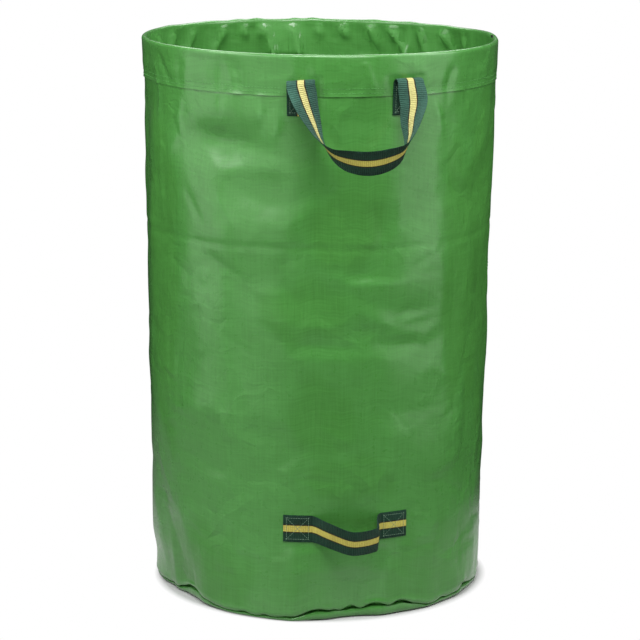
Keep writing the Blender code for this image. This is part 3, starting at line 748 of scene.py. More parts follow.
def sample(table, angle, height):
    """A value of a table of the wall, between its entries."""
    x = ((angle + 180.0) % 360.0) / ANGLE_STEP
    y = np.clip((height - LOWEST) / HEIGHT_STEP, 0.0, table.shape[1] - 1.001)
    i, k = np.floor(x).astype(int), np.floor(y).astype(int)
    u, v = x - i, y - k
    i, j = i % table.shape[0], (i + 1) % table.shape[0]
    low, high = (table[i, m] * (1.0 - u) + table[j, m] * u for m in (k, k + 1))
    return low * (1.0 - v) + high * v


def calm(angle, height):
    """1 where cloth is free to wrinkle, 0 where webbing is sewn over it."""
    free = 1.0
    for at, up, wide, tall in SEWN_PLACES:
        away = np.abs(turned(angle, at)) * math.pi / 180.0 * CLOTH_RADIUS
        level = ease((wide + 0.008 - away) / 0.008)
        upright = ease((tall + 0.008 - np.abs(height - up)) / 0.008)
        free = free * (1.0 - level * upright)
    return free


def folds(angle, height, depth=1.0):
    """How far the folds stand out of the plain wall, and the rubbing on their ridges, which also
    paints highlights on them.
    """
    angle, height = np.broadcast_arrays(np.asarray(angle, float), np.asarray(height, float))
    below_rim = ease((0.7175 - height) / 0.010)
    above_seam = ease((height - 0.004) / 0.02)
    out = sample(RELIEF, angle, height) * calm(angle, height) * below_rim * above_seam
    return out * depth, sample(RIDGE_WEAR_AND_HIGHLIGHT, angle, height)


def wall_face(angle, height):
    """The outer face of the wall up to the hem's edge."""
    return plain_wall(angle, height) + folds(angle, height)[0]


def hem_face(angle, height, depth=1.0):
    """The outer face of the hem: straight from the rod to its raw edge, puckered at the thread."""
    edge = plain_wall(angle, HEM_EDGE_HEIGHT) + 0.0007
    above = height - HEM_EDGE_HEIGHT
    radius = edge + (RIM_RADIUS - edge) * (above / (HOOP_HEIGHT - HEM_EDGE_HEIGHT))
    sewn = sum(hump(above, row, 0.0010) for row in HEM_ROWS)
    pulled = 0.75 + 0.25 * np.cos(np.radians(angle) * 340.0)
    puff = 0.0004 * hump(above, 0.019, 0.007) * (1.0 + waves(angle, 24, 5, 9, 40, 0.7))
    loose = np.maximum(0.0, 0.0006 + waves(angle, 25, 5, 20, 70, 0.0003))
    edge_curl = loose * np.exp(-above / 0.0025)
    relaxed = (puff + edge_curl - 0.0002 * sewn * pulled) * calm(angle, height)
    return radius + folds(angle, height, depth)[0] + relaxed


# ---- Mesh helpers ----


def thicken_side(path, thickness):
    """Offsets for the two faces of a sheet, for many section paths at once."""
    step = np.diff(path, axis=1)
    step /= np.maximum(np.linalg.norm(step, axis=2, keepdims=True), 1e-9)
    into = np.concatenate([step[:, :1], step], axis=1)
    out = np.concatenate([step, step[:, -1:]], axis=1)
    across = np.stack([-(into[..., 1] + out[..., 1]), into[..., 0] + out[..., 0]], axis=-1)
    across /= np.maximum(np.linalg.norm(across, axis=2, keepdims=True), 1e-9)
    square = np.stack([-into[..., 1], into[..., 0]], axis=-1)
    mitre = 1.0 / np.maximum(0.4, np.sum(across * square, axis=2, keepdims=True))
    return across * np.minimum(mitre, 1.5) * thickness / 2.0


def grid_mesh(name, points, uv_u, uv_v, close_across, values=None, inside=0):
    """A mesh from a closed ring of sections. points is (columns, section points, 3), and the
    first faces of each section, as many as inside says, take the second material."""
    columns, size = points.shape[:2]
    mesh = bpy.data.meshes.new(name)
    i = np.arange(columns)
    k = np.arange(size if close_across else size - 1)
    ii, kk = np.meshgrid(i, k, indexing="ij")
    nx, nk = (ii + 1) % columns, (kk + 1) % size
    quads = np.stack([ii * size + kk, nx * size + kk, nx * size + nk, ii * size + nk], axis=-1)
    quads = quads.reshape(-1, 4)
    mesh.vertices.add(columns * size)
    mesh.vertices.foreach_set("co", points.reshape(-1).astype(np.float32))
    mesh.loops.add(quads.size)
    mesh.loops.foreach_set("vertex_index", quads.reshape(-1).astype(np.int32))
    mesh.polygons.add(len(quads))
    mesh.polygons.foreach_set("loop_start", np.arange(0, quads.size, 4, dtype=np.int32))
    mesh.update(calc_edges=True)
    u = np.stack([uv_u[ii], uv_u[ii + 1], uv_u[ii + 1], uv_u[ii]], axis=-1)
    v = np.stack([uv_v[ii, kk], uv_v[nx, kk], uv_v[nx, nk], uv_v[ii, nk]], axis=-1)
    uv = np.stack([u, v], axis=-1).reshape(-1).astype(np.float32)
    mesh.uv_layers.new(name="cloth").data.foreach_set("uv", uv)
    # Values above 0 are rubbing with painted highlight, values below 0 are painted shade where the
    # coating has lost its shine
    if values is not None:
        layer = mesh.attributes.new("wear_and_painted_light", "FLOAT", "POINT")
        layer.data.foreach_set("value", values.reshape(-1).astype(np.float32))
    mesh.polygons.foreach_set("material_index", (kk < inside).reshape(-1).astype(np.int32))
    mesh.validate()
    return mesh


def turn_out(mesh):
    """Makes all faces of a closed mesh point outwards, and shades it smooth."""
    shape = bmesh.new()
    shape.from_mesh(mesh)
    shape.normal_update()
    bmesh.ops.recalc_face_normals(shape, faces=shape.faces)
    shape.to_mesh(mesh)
    shape.free()
    mesh.shade_smooth()
    mesh.set_sharp_from_angle(angle=math.radians(50.0))


def new_object(name, data):
    """An object in the scene, with the given mesh, light or camera."""
    made = bpy.data.objects.new(name, data)
    bpy.context.scene.collection.objects.link(made)
    return made


def add_piece(name, mesh, materials):
    """A finished piece, at the origin, which stands on the bag's body."""
    for used in materials:
        mesh.materials.append(used)
    piece = new_object(name, mesh)
    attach(piece, "root")
    return piece


def mesh_from(shape, name):
    """A mesh from a shape that is then let go."""
    mesh = bpy.data.meshes.new(name)
    shape.to_mesh(mesh)
    shape.free()
    return mesh


# ---- Materials ----


class Nodes:
    """A small helper to lay out a node tree."""

    def __init__(self, tree):
        self.tree = tree

    def feed(self, socket, value):
        """Links a socket into another, or sets a plain value."""
        if isinstance(value, bpy.types.NodeSocket):
            self.tree.links.new(value, socket)
        else:
            socket.default_value = value

    def add(self, kind, fed=(), **settings):
        """A node with its settings, and its inputs fed in their order or by their names."""
        node = self.tree.nodes.new(kind)
        for key, value in settings.items():
            setattr(node, key, value)
        for key, value in fed.items() if isinstance(fed, dict) else enumerate(fed):
            self.feed(node.inputs[key], value)
        return node

    def math(self, operation, *values):
        return self.add("ShaderNodeMath", values, operation=operation).outputs[0]

    def vector(self, operation, *values):
        """The vector that the operation gives, or its number if it gives one."""
        outputs = self.add("ShaderNodeVectorMath", values, operation=operation).outputs
        return outputs[1 if operation in ("DOT_PRODUCT", "LENGTH", "DISTANCE") else 0]

    def arches(self, value):
        """Round arches, one for each whole step of a value."""
        return self.math("ABSOLUTE", self.math("SINE", self.math("MULTIPLY", value, math.pi)))

    def mix_colour(self, part, first, second):
        fed = {0: part, 6: first, 7: second}
        return self.add("ShaderNodeMix", fed, data_type="RGBA").outputs[2]

    def tint(self, colour, by):
        """A colour multiplied by another."""
        fed = {0: 1.0, 6: colour, 7: (*by, 1.0)}
        return self.add("ShaderNodeMix", fed, data_type="RGBA", blend_type="MULTIPLY").outputs[2]

    def spread(self, value, low, high, to_low=0.0, to_high=1.0):
        """Maps a value from one range to another, held at the ends."""
        return self.add("ShaderNodeMapRange", (value, low, high, to_low, to_high)).outputs[0]

    def noise(self, vector, scale, detail=2.0):
        fed = {"Vector": vector, "Scale": scale, "Detail": detail}
        return self.add("ShaderNodeTexNoise", fed).outputs[0]

    def show(self, kind, part, first, second):
        """Puts out one shader where part is 0 and another where it is 1."""
        both = self.add("ShaderNodeMixShader", (part, first.outputs[0], second.outputs[0]))
        self.add(kind, (both.outputs[0],))


def new_group(name, numbers, outputs):
    """An empty shader node group with a Vector, the given numbers and the named outputs."""
    tree = bpy.data.node_groups.new(name, "ShaderNodeTree")
    kind = "NodeSocketFloat"
    tree.interface.new_socket(name="Vector", in_out="INPUT", socket_type="NodeSocketVector")
    for label, default in numbers.items():
        made = tree.interface.new_socket(name=label, in_out="INPUT", socket_type=kind)
        made.default_value = default
    for label in outputs:
        tree.interface.new_socket(name=label, in_out="OUTPUT", socket_type=kind)
    n = Nodes(tree)
    return n, n.add("NodeGroupInput").outputs, n.add("NodeGroupOutput").inputs


def woven_tapes(name):
    """Flat tapes woven over and under, from a UV map in metres."""
    n, given, result = new_group(name, {"Tape width": 0.0024}, ("Height", "Tone"))
    parts = n.add("ShaderNodeSeparateXYZ", (given["Vector"],)).outputs
    places = [n.math("DIVIDE", parts[axis], given["Tape width"]) for axis in (0, 1)]
    tapes = [n.math("FLOOR", place) for place in places]
    over = n.math("MODULO", n.math("ABSOLUTE", n.math("ADD", *tapes)), 2.0)
    crowns = [n.math("POWER", n.arches(place), 0.5) for place in places]
    height = n.add("ShaderNodeMix", {0: over, 2: crowns[0], 3: crowns[1]}, data_type="FLOAT")
    n.feed(result["Height"], height.outputs[0])
    tones = []
    for tape in tapes:
        fed = {"W": n.math("ADD", tape, 0.5)}
        tones.append(n.add("ShaderNodeTexWhiteNoise", fed, noise_dimensions="1D").outputs["Value"])
    n.feed(result["Tone"], n.math("MULTIPLY", n.math("ADD", *tones), 0.5))
    return n.tree


def uneven_tone(name):
    """Cloudy change of tone that real pieces have, from Object coordinates."""
    n, given, result = new_group(name, {"Scale": 8.0}, ("Broad", "Fine"))
    for label, times, detail in (("Broad", 1.0, 3.0), ("Fine", 14.0, 4.0)):
        scale = n.math("MULTIPLY", given["Scale"], times)
        n.feed(result[label], n.spread(n.noise(given["Vector"], scale, detail), 0.3, 0.7))
    return n.tree


def creased_sheet(name):
    """Flat facets that each lean their own way, meeting in creases, from Object coordinates."""
    n, given, result = new_group(name, {"Scale": 20.0}, ("Height",))
    drift = n.add("ShaderNodeTexNoise", {"Vector": given["Vector"], "Scale": 11.0})
    moved = n.vector("MULTIPLY_ADD", drift.outputs["Color"], (0.07,) * 3, given["Vector"])
    fed = {"Vector": moved, "Scale": given["Scale"]}
    cells = n.add("ShaderNodeTexVoronoi", fed, feature="F1").outputs
    edges = n.add("ShaderNodeTexVoronoi", fed, feature="DISTANCE_TO_EDGE").outputs
    local = n.vector("SUBTRACT", moved, cells["Position"])
    way = n.vector("SUBTRACT", cells["Color"], (0.5,) * 3)
    inner = n.spread(edges["Distance"], 0.0, 0.16)
    lean = n.math("MULTIPLY", n.vector("DOT_PRODUCT", local, way), inner)
    n.feed(result["Height"], n.math("MULTIPLY", lean, 2.0))
    return n.tree


def ribbed_webbing(name):
    """Cross ribs and lengthwise yarns of webbing, and its stripe, from a UV map in metres."""
    numbers = {"Rib pitch": 0.0024, "Width": WEBBING_WIDTH, "Stripe width": STRIPE_WIDTH}
    n, given, result = new_group(name, numbers, ("Height", "Stripe", "Stripe edge", "Tone"))
    parts = n.add("ShaderNodeSeparateXYZ", (given["Vector"],)).outputs
    along = n.math("DIVIDE", parts[1], given["Rib pitch"])
    yarn_place = n.math("DIVIDE", parts[0], 0.0009)
    yarn_shift = n.math("MULTIPLY", n.math("FLOOR", along), 0.5)
    yarn = n.arches(n.math("ADD", yarn_place, yarn_shift))
    relief_of_yarn = n.math("ADD", n.math("MULTIPLY", yarn, 0.35), 0.65)
    height = n.math("MULTIPLY", n.math("POWER", n.arches(along), 0.6), relief_of_yarn)
    n.feed(result["Height"], height)
    half = n.math("MULTIPLY", given["Width"], 0.5)
    away = n.math("ABSOLUTE", n.math("SUBTRACT", parts[0], half))
    past = n.math("SUBTRACT", away, n.math("MULTIPLY", given["Stripe width"], 0.5))
    past = n.math("ADD", past, n.math("MULTIPLY", n.math("SUBTRACT", yarn, 0.5), 0.0002))
    n.feed(result["Stripe"], n.spread(past, -0.0001, 0.0001, 1.0, 0.0))
    edge = n.math("ABSOLUTE", n.math("SUBTRACT", past, 0.0007))
    n.feed(result["Stripe edge"], n.spread(edge, 0.0006, 0.0009, 1.0, 0.0))
    cell = n.add("ShaderNodeCombineXYZ", (n.math("FLOOR", yarn_place), n.math("FLOOR", along)))
    chance = n.add("ShaderNodeTexWhiteNoise", {"Vector": cell.outputs[0]}, noise_dimensions="2D")
    n.feed(result["Tone"], chance.outputs["Value"])
    return n.tree


SHADER_GROUPS = {
    "Woven tapes": woven_tapes,
    "Uneven tone": uneven_tone,
    "Creased sheet": creased_sheet,
    "Ribbed webbing": ribbed_webbing,
}


def place_group(n, name, **given):
    """The outputs of a shader node group, which is made when it is first asked for."""
    group = bpy.data.node_groups.get(name) or SHADER_GROUPS[name](name)
    fed = {label.replace("_", " "): value for label, value in given.items()}
    return n.add("ShaderNodeGroup", fed, node_tree=group).outputs


def start_material(name, **constants):
    """A material, its nodes' helper, its shader's inputs and the Object coordinates."""
    made = bpy.data.materials.new(name)
    made.use_nodes = True
    n = Nodes(made.node_tree)
    shader = made.node_tree.nodes["Principled BSDF"].inputs
    for label, value in constants.items():
        shader[label.replace("_", " ")].default_value = value
    return made, n, shader, n.add("ShaderNodeTexCoord").outputs["Object"]


def bump(n, shader, height, distance):
    fed = {"Strength": 1.0, "Distance": distance, "Height": height}
    n.feed(shader["Normal"], n.add("ShaderNodeBump", fed).outputs[0])


def shaded(colour, by=1.0):
    """A colour made darker or paler, with its alpha."""
    return (*[part * by for part in colour], 1.0)


def fabric_material(name, settings, light=1.0, rough=0.26, coat=0.90):
    """Satin coating over woven tapes, paler where rubbing has marked its ridges and rim, which also
    paints highlights there, and darker with painted shade where its gloss is gone.
    """
    made, n, shader, place = start_material(name, Specular_IOR_Level=0.2, Coat_Roughness=0.25)
    cloth = n.add("ShaderNodeUVMap", uv_map="cloth").outputs[0]
    weave = place_group(n, "Woven tapes", Vector=cloth, Tape_width=settings.tape_width)
    cloud = place_group(n, "Uneven tone", Vector=place, Scale=9.0)
    kept = n.add("ShaderNodeAttribute", attribute_name="wear_and_painted_light").outputs["Fac"]
    wear_and_painted_light = n.math("MAXIMUM", kept, 0.0)
    dull_and_shaded = n.math("MAXIMUM", n.math("MULTIPLY", kept, -1.0), 0.0)
    tone = n.math("MULTIPLY_ADD", weave["Tone"], 0.20, 0.04)
    for scale, share in (((26.0, 420.0, 1.0), 0.30), ((420.0, 20.0, 1.0), 0.26)):
        threads = n.add("ShaderNodeMapping", {"Vector": cloth, "Scale": scale})
        streak = n.spread(n.noise(threads.outputs[0], 1.0), 0.35, 0.65)
        tone = n.math("MULTIPLY_ADD", streak, share, tone)
    tone = n.math("MULTIPLY_ADD", cloud["Broad"], 0.28, tone)
    deep, pale = (shaded(c, light) for c in (settings.deep_green, settings.light_green))
    green = n.mix_colour(tone, deep, pale)
    # Where the coating has lost its shine it is rougher and has no coat, and its colour is darkened
    # as painted shade
    green = n.mix_colour(dull_and_shaded, green, n.tint(green, (0.88, 0.88, 0.80)))
    # Paler colour on the marked ridges and the rim's top: rubbing, and a painted highlight
    rubbed_and_lit = n.math("MULTIPLY", wear_and_painted_light, n.spread(cloud["Fine"], 0.2, 1.0, 0.05, 0.60))
    n.feed(shader["Base Color"], n.mix_colour(rubbed_and_lit, green, shaded(settings.worn_highlight_green)))
    gloss = n.math("MULTIPLY_ADD", cloud["Fine"], 0.08, rough)
    gloss = n.math("MULTIPLY_ADD", dull_and_shaded, 0.10, gloss)
    n.feed(shader["Coat Weight"], n.math("MULTIPLY_ADD", dull_and_shaded, -coat, coat))
    n.feed(shader["Roughness"], n.math("MULTIPLY_ADD", wear_and_painted_light, 0.05, gloss))
    height = n.math("MULTIPLY", weave["Height"], 0.00003)
    height = n.math("MULTIPLY_ADD", n.noise(place, 42.0), 0.00012, height)
    height = n.math("MULTIPLY_ADD", n.noise(place, 260.0, 3.0), 0.00004, height)
    amount = n.spread(cloud["Broad"], 0.1, 0.9, 0.006, 0.034)
    for scale, share in ((13.0, 1.0), (44.0, 0.8)):
        leaning = place_group(n, "Creased sheet", Vector=place, Scale=scale)
        part = n.math("MULTIPLY", amount, share)
        height = n.math("MULTIPLY_ADD", leaning["Height"], part, height)
    bump(n, shader, height, 1.0)
    return made


def webbing_material(settings):
    """Dark green ribbed webbing with a yellow stripe down its middle."""
    made, n, shader, place = start_material(
        "ribbed webbing", Specular_IOR_Level=0.15, Sheen_Weight=0.04, Sheen_Roughness=0.4
    )
    lie = n.add("ShaderNodeUVMap", uv_map="cloth").outputs[0]
    weave = place_group(n, "Ribbed webbing", Vector=lie, Rib_pitch=settings.rib_pitch)
    cloud = place_group(n, "Uneven tone", Vector=place, Scale=30.0)
    along = n.add("ShaderNodeSeparateXYZ", (lie,)).outputs[1]
    sewn_face = n.spread(along, FACE_SHIFT / 3, FACE_SHIFT / 3 + 1.0)
    # The sewn face gets paler copies of the ground and stripe colours: painted light on the lift
    # handles high on the bag, against the outer face, which shows low down on the tipping handle
    ground, paler = settings.ground_green, SEWN_FACE_LIT_GROUND
    pale = (*[part * by for part, by in zip(ground, paler)], 1.0)
    base = n.tint(n.mix_colour(sewn_face, shaded(ground), pale), (1.35,) * 3)
    stripe = [shaded(c) for c in (settings.stripe_yellow, settings.stripe_pale_lit)]
    bright = n.tint(n.mix_colour(sewn_face, *stripe), (1.1,) * 3)
    # Grooves between the ribs are darker: painted shade, mixed with the yarns' random tone
    shade = n.math("MULTIPLY", weave["Tone"], 0.25)
    shade = n.math("MULTIPLY_ADD", weave["Height"], 0.6, shade)
    shade = n.math("ADD", n.spread(cloud["Broad"], 0.2, 0.8, -0.12, 0.30), shade)
    dark = n.mix_colour(shade, n.tint(base, (0.28,) * 3), base)
    warm = n.mix_colour(shade, n.tint(bright, (0.60, 0.54, 0.48)), bright)
    colour = n.mix_colour(weave["Stripe"], dark, warm)
    edge = n.math("MULTIPLY", weave["Stripe edge"], 0.9)
    n.feed(shader["Base Color"], n.mix_colour(edge, colour, (0.022, 0.012, 0.006, 1.0)))
    n.feed(shader["Roughness"], n.math("MULTIPLY_ADD", cloud["Fine"], 0.10, 0.48))
    bump(n, shader, weave["Height"], 0.0009)
    return made


def thread_material(name, colour):
    """Twisted sewing thread."""
    made, n, shader, place = start_material(name, Roughness=0.55, Specular_IOR_Level=0.4)
    cloud = place_group(n, "Uneven tone", Vector=place, Scale=60.0)
    n.feed(shader["Base Color"], n.mix_colour(cloud["Fine"], shaded(colour, 0.7), shaded(colour)))
    fed = {"Vector": place, "Scale": 700.0}
    twist = n.add("ShaderNodeTexWave", fed, wave_type="BANDS", bands_direction="DIAGONAL")
    bump(n, shader, twist.outputs[1], 0.0001)
    return made


def plastic_material(name, colour, roughness):
    """Plain extruded or moulded plastic with faint scuffs."""
    made, n, shader, place = start_material(name)
    cloud = place_group(n, "Uneven tone", Vector=place, Scale=20.0)
    n.feed(shader["Base Color"], n.mix_colour(cloud["Broad"], shaded(colour, 0.75), shaded(colour)))
    n.feed(shader["Roughness"], n.math("MULTIPLY_ADD", cloud["Fine"], 0.12, roughness - 0.06))
    bump(n, shader, cloud["Fine"], 0.0001)
    return made


# ---- The wall, the base and the rod ----


def column_angles(columns):
    return SIDE_SEAM_ANGLE + 360.0 * np.arange(columns) / columns


def seam_step(angle):
    """The wall's cloth overlaps itself at the side seam by 12 mm."""
    away = turned(angle, SIDE_SEAM_ANGLE)
    return 0.0006 * ease((away + 3.6) / 0.6) * ease((0.9 - away) / 0.9)


def path_of(parts):
    """Section paths from parts of (radii, heights), one after the other."""
    return np.concatenate([np.stack(np.broadcast_arrays(*part), axis=-1) for part in parts], axis=1)


def build_wall_mesh(settings):
    """The wall and its hem as one sheet swept round the bag."""
    columns, deep, thick = settings.columns, settings.fold_depth, settings.thickness
    angle = column_angles(columns)
    column = angle[:, None]
    foot = foot_radius(angle)[:, None]
    seam = seam_height(angle)[:, None] + SOLID_FABRIC + GAP

    arch = arch_height(angle)[:, None]
    droop = 0.0012 * np.clip(1.0 - arch / 0.0016, 0.0, 1.0)
    start = seam_height(angle)[:, None] + LIP_HEIGHT
    lip = np.array(WALL_LIP).T[:, None]
    lip_z = seam + lip[1] + lip[2] * arch - lip[3] * droop + lip[4] * (start - seam - arch)

    part = np.linspace(0.0, 1.0, settings.rows + 1)[None, :]
    part = part + 0.035 * np.sin(2.0 * math.pi * part) / (2.0 * math.pi)
    wall_z = start + (HEM_EDGE_HEIGHT - start) * part
    out, ridge_wear_and_highlight = folds(column, wall_z, deep)
    wall_r = plain_wall(column, wall_z) + out + seam_step(column) - thick / 2

    inner_z = np.linspace(HEM_EDGE_HEIGHT, HOOP_HEIGHT, 12)[None, 1:-1]
    fold_radius = HOOP_ROD / 2 + 0.0004 + thick / 2
    rise = (inner_z - HEM_EDGE_HEIGHT) / (HOOP_HEIGHT - HEM_EDGE_HEIGHT)
    rim_out, _ = folds(column, inner_z, deep)
    inner_r = wall_r[:, -1:] + (HOOP_RADIUS - fold_radius - wall_r[:, -1:]) * rise
    inner_r = inner_r + np.minimum(rim_out * ease((1.0 - rise) / 0.12), 0.0009)

    turn = np.radians(np.linspace(180.0, 0.0, 11))[None, :]
    slack = fold_radius + np.abs(waves(angle, 26, 6, 30, 90, 0.00020)[:, None])
    pinch = with_bells(0.0, column, RIM_PINCHES)
    fold_r = HOOP_RADIUS + slack * np.cos(turn)
    fold_z = HOOP_HEIGHT + (slack + np.maximum(pinch, -0.0002)) * np.sin(turn)

    down_z = np.linspace(HOOP_HEIGHT, HEM_EDGE_HEIGHT, 18)[None, 1:]
    flap_r = hem_face(column, down_z, deep) - thick / 2

    parts = (
        (foot + lip[0], lip_z), (wall_r, wall_z), (inner_r, inner_z), (fold_r, fold_z),
        (flap_r, down_z),
    )
    path = path_of(parts)
    low, hem, rim, flap, last = np.cumsum([r.shape[1] for r, _ in parts])
    offset = thicken_side(path, thick)
    left, right = path + offset, path - offset
    behind = np.pad(left[:, low:hem, 0], ((0, 0), (4, 4)), mode="edge")
    behind = np.min([behind[:, k:k + hem - low] for k in range(9)], axis=0)
    beside = np.minimum(np.roll(behind, 1, 0), np.roll(behind, -1, 0))
    left[:, low:hem, 0] = np.minimum(behind, beside)
    keep_left = np.r_[0:low, np.arange(low, hem - 1, 4), hem - 1:last]
    keep_right = np.r_[
        0:hem, np.arange(hem, rim, 4), np.arange(rim, flap, 3),
        np.arange(flap, last - 1, 4), last - 1,
    ]

    def both_faces(left, right):
        return np.concatenate([left[:, keep_left], right[:, keep_right[::-1]]], axis=1)

    section = both_faces(left, right)
    points = polar(column, section[..., 0], section[..., 1])
    run = np.cumsum(np.linalg.norm(np.diff(path, axis=1), axis=2), axis=1)
    run = np.pad(run, ((0, 0), (1, 0)))
    uv_u = np.arange(columns + 1) / columns * 2.0 * math.pi * UV_RADIUS
    # Marks for the colour: rubbing with painted highlight on the ridges, and painted shade, as
    # values below 0, where the coating has lost its shine
    worn_and_painted_light = np.zeros((columns, last))
    worn_and_painted_light[:, low:hem] = ridge_wear_and_highlight - dullness_and_shade(column, wall_z)
    # The top of the rolled rim is paler: rubbing, and a painted highlight along it
    worn_and_painted_light[:, rim:flap] = 0.35 * np.sin(turn)
    inside = int((keep_left < rim).sum())
    return grid_mesh(
        "bag_cloth", points, uv_u, both_faces(run, run), True, both_faces(worn_and_painted_light, worn_and_painted_light), inside
    )


def cut_notch(piece):
    """Cuts a slit into the rolled rim where the rod's channel is open, at the side seam."""
    shape = bmesh.new()
    bmesh.ops.create_cone(
        shape, cap_ends=True, segments=20, radius1=0.0018, radius2=0.0018, depth=0.050
    )
    centre = Vector(polar(SIDE_SEAM_ANGLE, HOOP_RADIUS, HOOP_HEIGHT))
    spin = Vector(SLIT_DIRECTION).to_track_quat("Z", "Y")
    for corner in shape.verts:
        corner.co = spin @ (corner.co + Vector((0.0, 0.0, 0.024))) + centre
    shape.normal_update()
    bmesh.ops.recalc_face_normals(shape, faces=shape.faces)
    tool = new_object("notch", mesh_from(shape, "notch"))
    cut = piece.modifiers.new("Notch", "BOOLEAN")
    cut.operation = "DIFFERENCE"
    cut.solver = "EXACT"
    cut.object = tool
    bake_modifiers(piece)
    bpy.data.objects.remove(tool, do_unlink=True)


def bake_modifiers(piece):
    """Turns the evaluated piece into its plain mesh and removes the modifiers."""
    depsgraph = bpy.context.evaluated_depsgraph_get()
    depsgraph.update()
    done = bpy.data.meshes.new_from_object(
        piece.evaluated_get(depsgraph), preserve_all_data_layers=True, depsgraph=depsgraph
    )
    old = piece.data
    piece.modifiers.clear()
    piece.data = done
    if old.users == 0:
        bpy.data.meshes.remove(old)


class GARDENBAG_OT_wall(Operator):
    """Make the wall and its stitched hem from one sheet of coated fabric"""

    bl_idname = "garden_bag.wall"
    bl_label = "Wall and hem"

    def execute(self, context):
        settings = context.scene.garden_bag_fabric
        mesh = build_wall_mesh(settings)
        turn_out(mesh)
        inside = ("fabric inside", settings, settings.inside_light, 0.46, 0.0)
        mesh.materials.append(fabric_material("coated woven fabric", settings))
        mesh.materials.append(fabric_material(*inside))
        piece = new_object("bag_cloth", mesh)
        cut_notch(piece)
        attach(piece, "root")
        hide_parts("bag_wall")
        return {"FINISHED"}


class GARDENBAG_OT_base(Operator):
    """Make the round base with its edge turned up into the seam"""

    bl_idname = "garden_bag.base"
    bl_label = "Base"

    def execute(self, context):
        settings = context.scene.garden_bag_fabric
        columns, low = BASE_COLUMNS, settings.thickness / 2
        angle = column_angles(columns)
        column = angle[:, None]
        foot = foot_radius(angle)[:, None]
        seam = seam_height(angle)[:, None]
        rings = np.array([BASE_RINGS])
        last = BASE_RINGS[-1]
        flat_r = rings * (foot - 0.012) / last
        sag = waves(column + 25.0, 41, 4, 2, 7, 0.0005) * (rings / last) ** 2
        flat_z = low + np.maximum(sag, 0.0) * ease((0.185 - rings) / 0.03)
        edge = np.array(BASE_EDGE).T[:, None]
        edge_z = edge[1] * low + edge[2] * seam + edge[3]
        path = path_of(((flat_r, flat_z), (foot + edge[0], edge_z)))
        offset = thicken_side(path, settings.thickness)
        section = np.concatenate([path + offset, (path - offset)[:, ::-1]], axis=1)
        points = polar(column, section[..., 0], section[..., 1])
        size = points.shape[1]
        no_u, no_v = np.zeros(columns + 1), np.zeros((columns, size))
        mesh = grid_mesh("bag_base", points, no_u, no_v, False)
        shape = bmesh.new()
        shape.from_mesh(mesh)
        shape.verts.ensure_lookup_table()
        for place in (0, size - 1):
            shape.faces.new([shape.verts[i * size + place] for i in range(columns)])
        shape.to_mesh(mesh)
        shape.free()
        corner = np.empty(len(mesh.loops), dtype=np.int32)
        mesh.loops.foreach_get("vertex_index", corner)
        flat_uv = points[..., :2].reshape(-1, 2)[corner].reshape(-1).astype(np.float32)
        mesh.uv_layers["cloth"].data.foreach_set("uv", flat_uv)
        turn_out(mesh)
        piece = add_piece("bag_base", mesh, [fabric_material("base fabric", settings)])
        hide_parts("base_panel")
        return {"FINISHED"}


def ring_at(shape, angle, radius):
    """Corners round the rod's middle at one angle of the rim."""
    turn = 2.0 * math.pi * np.arange(ROD_SIDES) / ROD_SIDES
    points = polar(angle, HOOP_RADIUS + radius * np.cos(turn), HOOP_HEIGHT + radius * np.sin(turn))
    return [shape.verts.new(point) for point in points]


class GARDENBAG_OT_rod(Operator):
    """Make the black rod inside the hem, with the bores for its joining pin"""

    bl_idname = "garden_bag.rod"
    bl_label = "Rim rod"

    def execute(self, context):
        gap = math.degrees(ROD_HALF_GAP / HOOP_RADIUS)
        bore = math.degrees(BORE_DEPTH / HOOP_RADIUS)
        shape = bmesh.new()
        angles = np.linspace(SIDE_SEAM_ANGLE + gap, SIDE_SEAM_ANGLE + 360.0 - gap, 241)
        loops = [ring_at(shape, at, HOOP_ROD / 2) for at in angles]

        def bridge(rings):
            for one, two in zip(rings, rings[1:]):
                for k in range(ROD_SIDES):
                    j = (k + 1) % ROD_SIDES
                    shape.faces.new((one[k], one[j], two[j], two[k]))

        bridge(loops)
        for end, first, way in ((loops[0], angles[0], 1.0), (loops[-1], angles[-1], -1.0)):
            inner = [ring_at(shape, first + way * bore * t, BORE_RADIUS) for t in (0.0, 0.5, 1.0)]
            bridge([end, *inner])
            shape.faces.new(inner[2])
        mesh = mesh_from(shape, "rim_rod")
        turn_out(mesh)
        piece = add_piece("rim_rod", mesh, [plastic_material("black rod", ROD_BLACK, 0.38)])
        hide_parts("rim_hoop")
        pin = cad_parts["hoop_joiner"]
        pin.data.materials.clear()
        pin.data.materials.append(plastic_material("joining pin", PIN_WHITE, 0.45))
        return {"FINISHED"}


# ---- Webbing ----


def smooth_rows(rows, steps):
    """A smooth line through rows of numbers, with even steps between neighbouring rows."""
    rows = np.asarray(rows, float)
    lengths = np.linalg.norm(np.diff(rows[:, :3], axis=0), axis=1)
    slopes = []
    for index in range(len(rows)):
        low, high = max(index - 1, 0), min(index + 1, len(rows) - 1)
        slopes.append((rows[high] - rows[low]) / lengths[low:high].sum())
    smooth = []
    for index, run in enumerate(lengths):
        for step in range(steps):
            t = step / steps
            start, end = 2 * t**3 - 3 * t**2 + 1, 3 * t**2 - 2 * t**3
            leave, arrive = t**3 - 2 * t**2 + t, t**3 - t**2
            smooth.append(
                start * rows[index] + end * rows[index + 1]
                + run * (leave * slopes[index] + arrive * slopes[index + 1])
            )
    smooth.append(rows[-1])
    return np.array(smooth)


def unit(vectors):
    """Vectors of length 1 with the same directions."""
    return vectors / np.maximum(np.linalg.norm(vectors, axis=-1, keepdims=True), 1e-9)


def directions(points):
    """The way a line runs at each of its points."""
    step = np.zeros_like(points)
    step[1:-1] = points[2:] - points[:-2]
    step[0] = points[1] - points[0]
    step[-1] = points[-1] - points[-2]
    return unit(step)


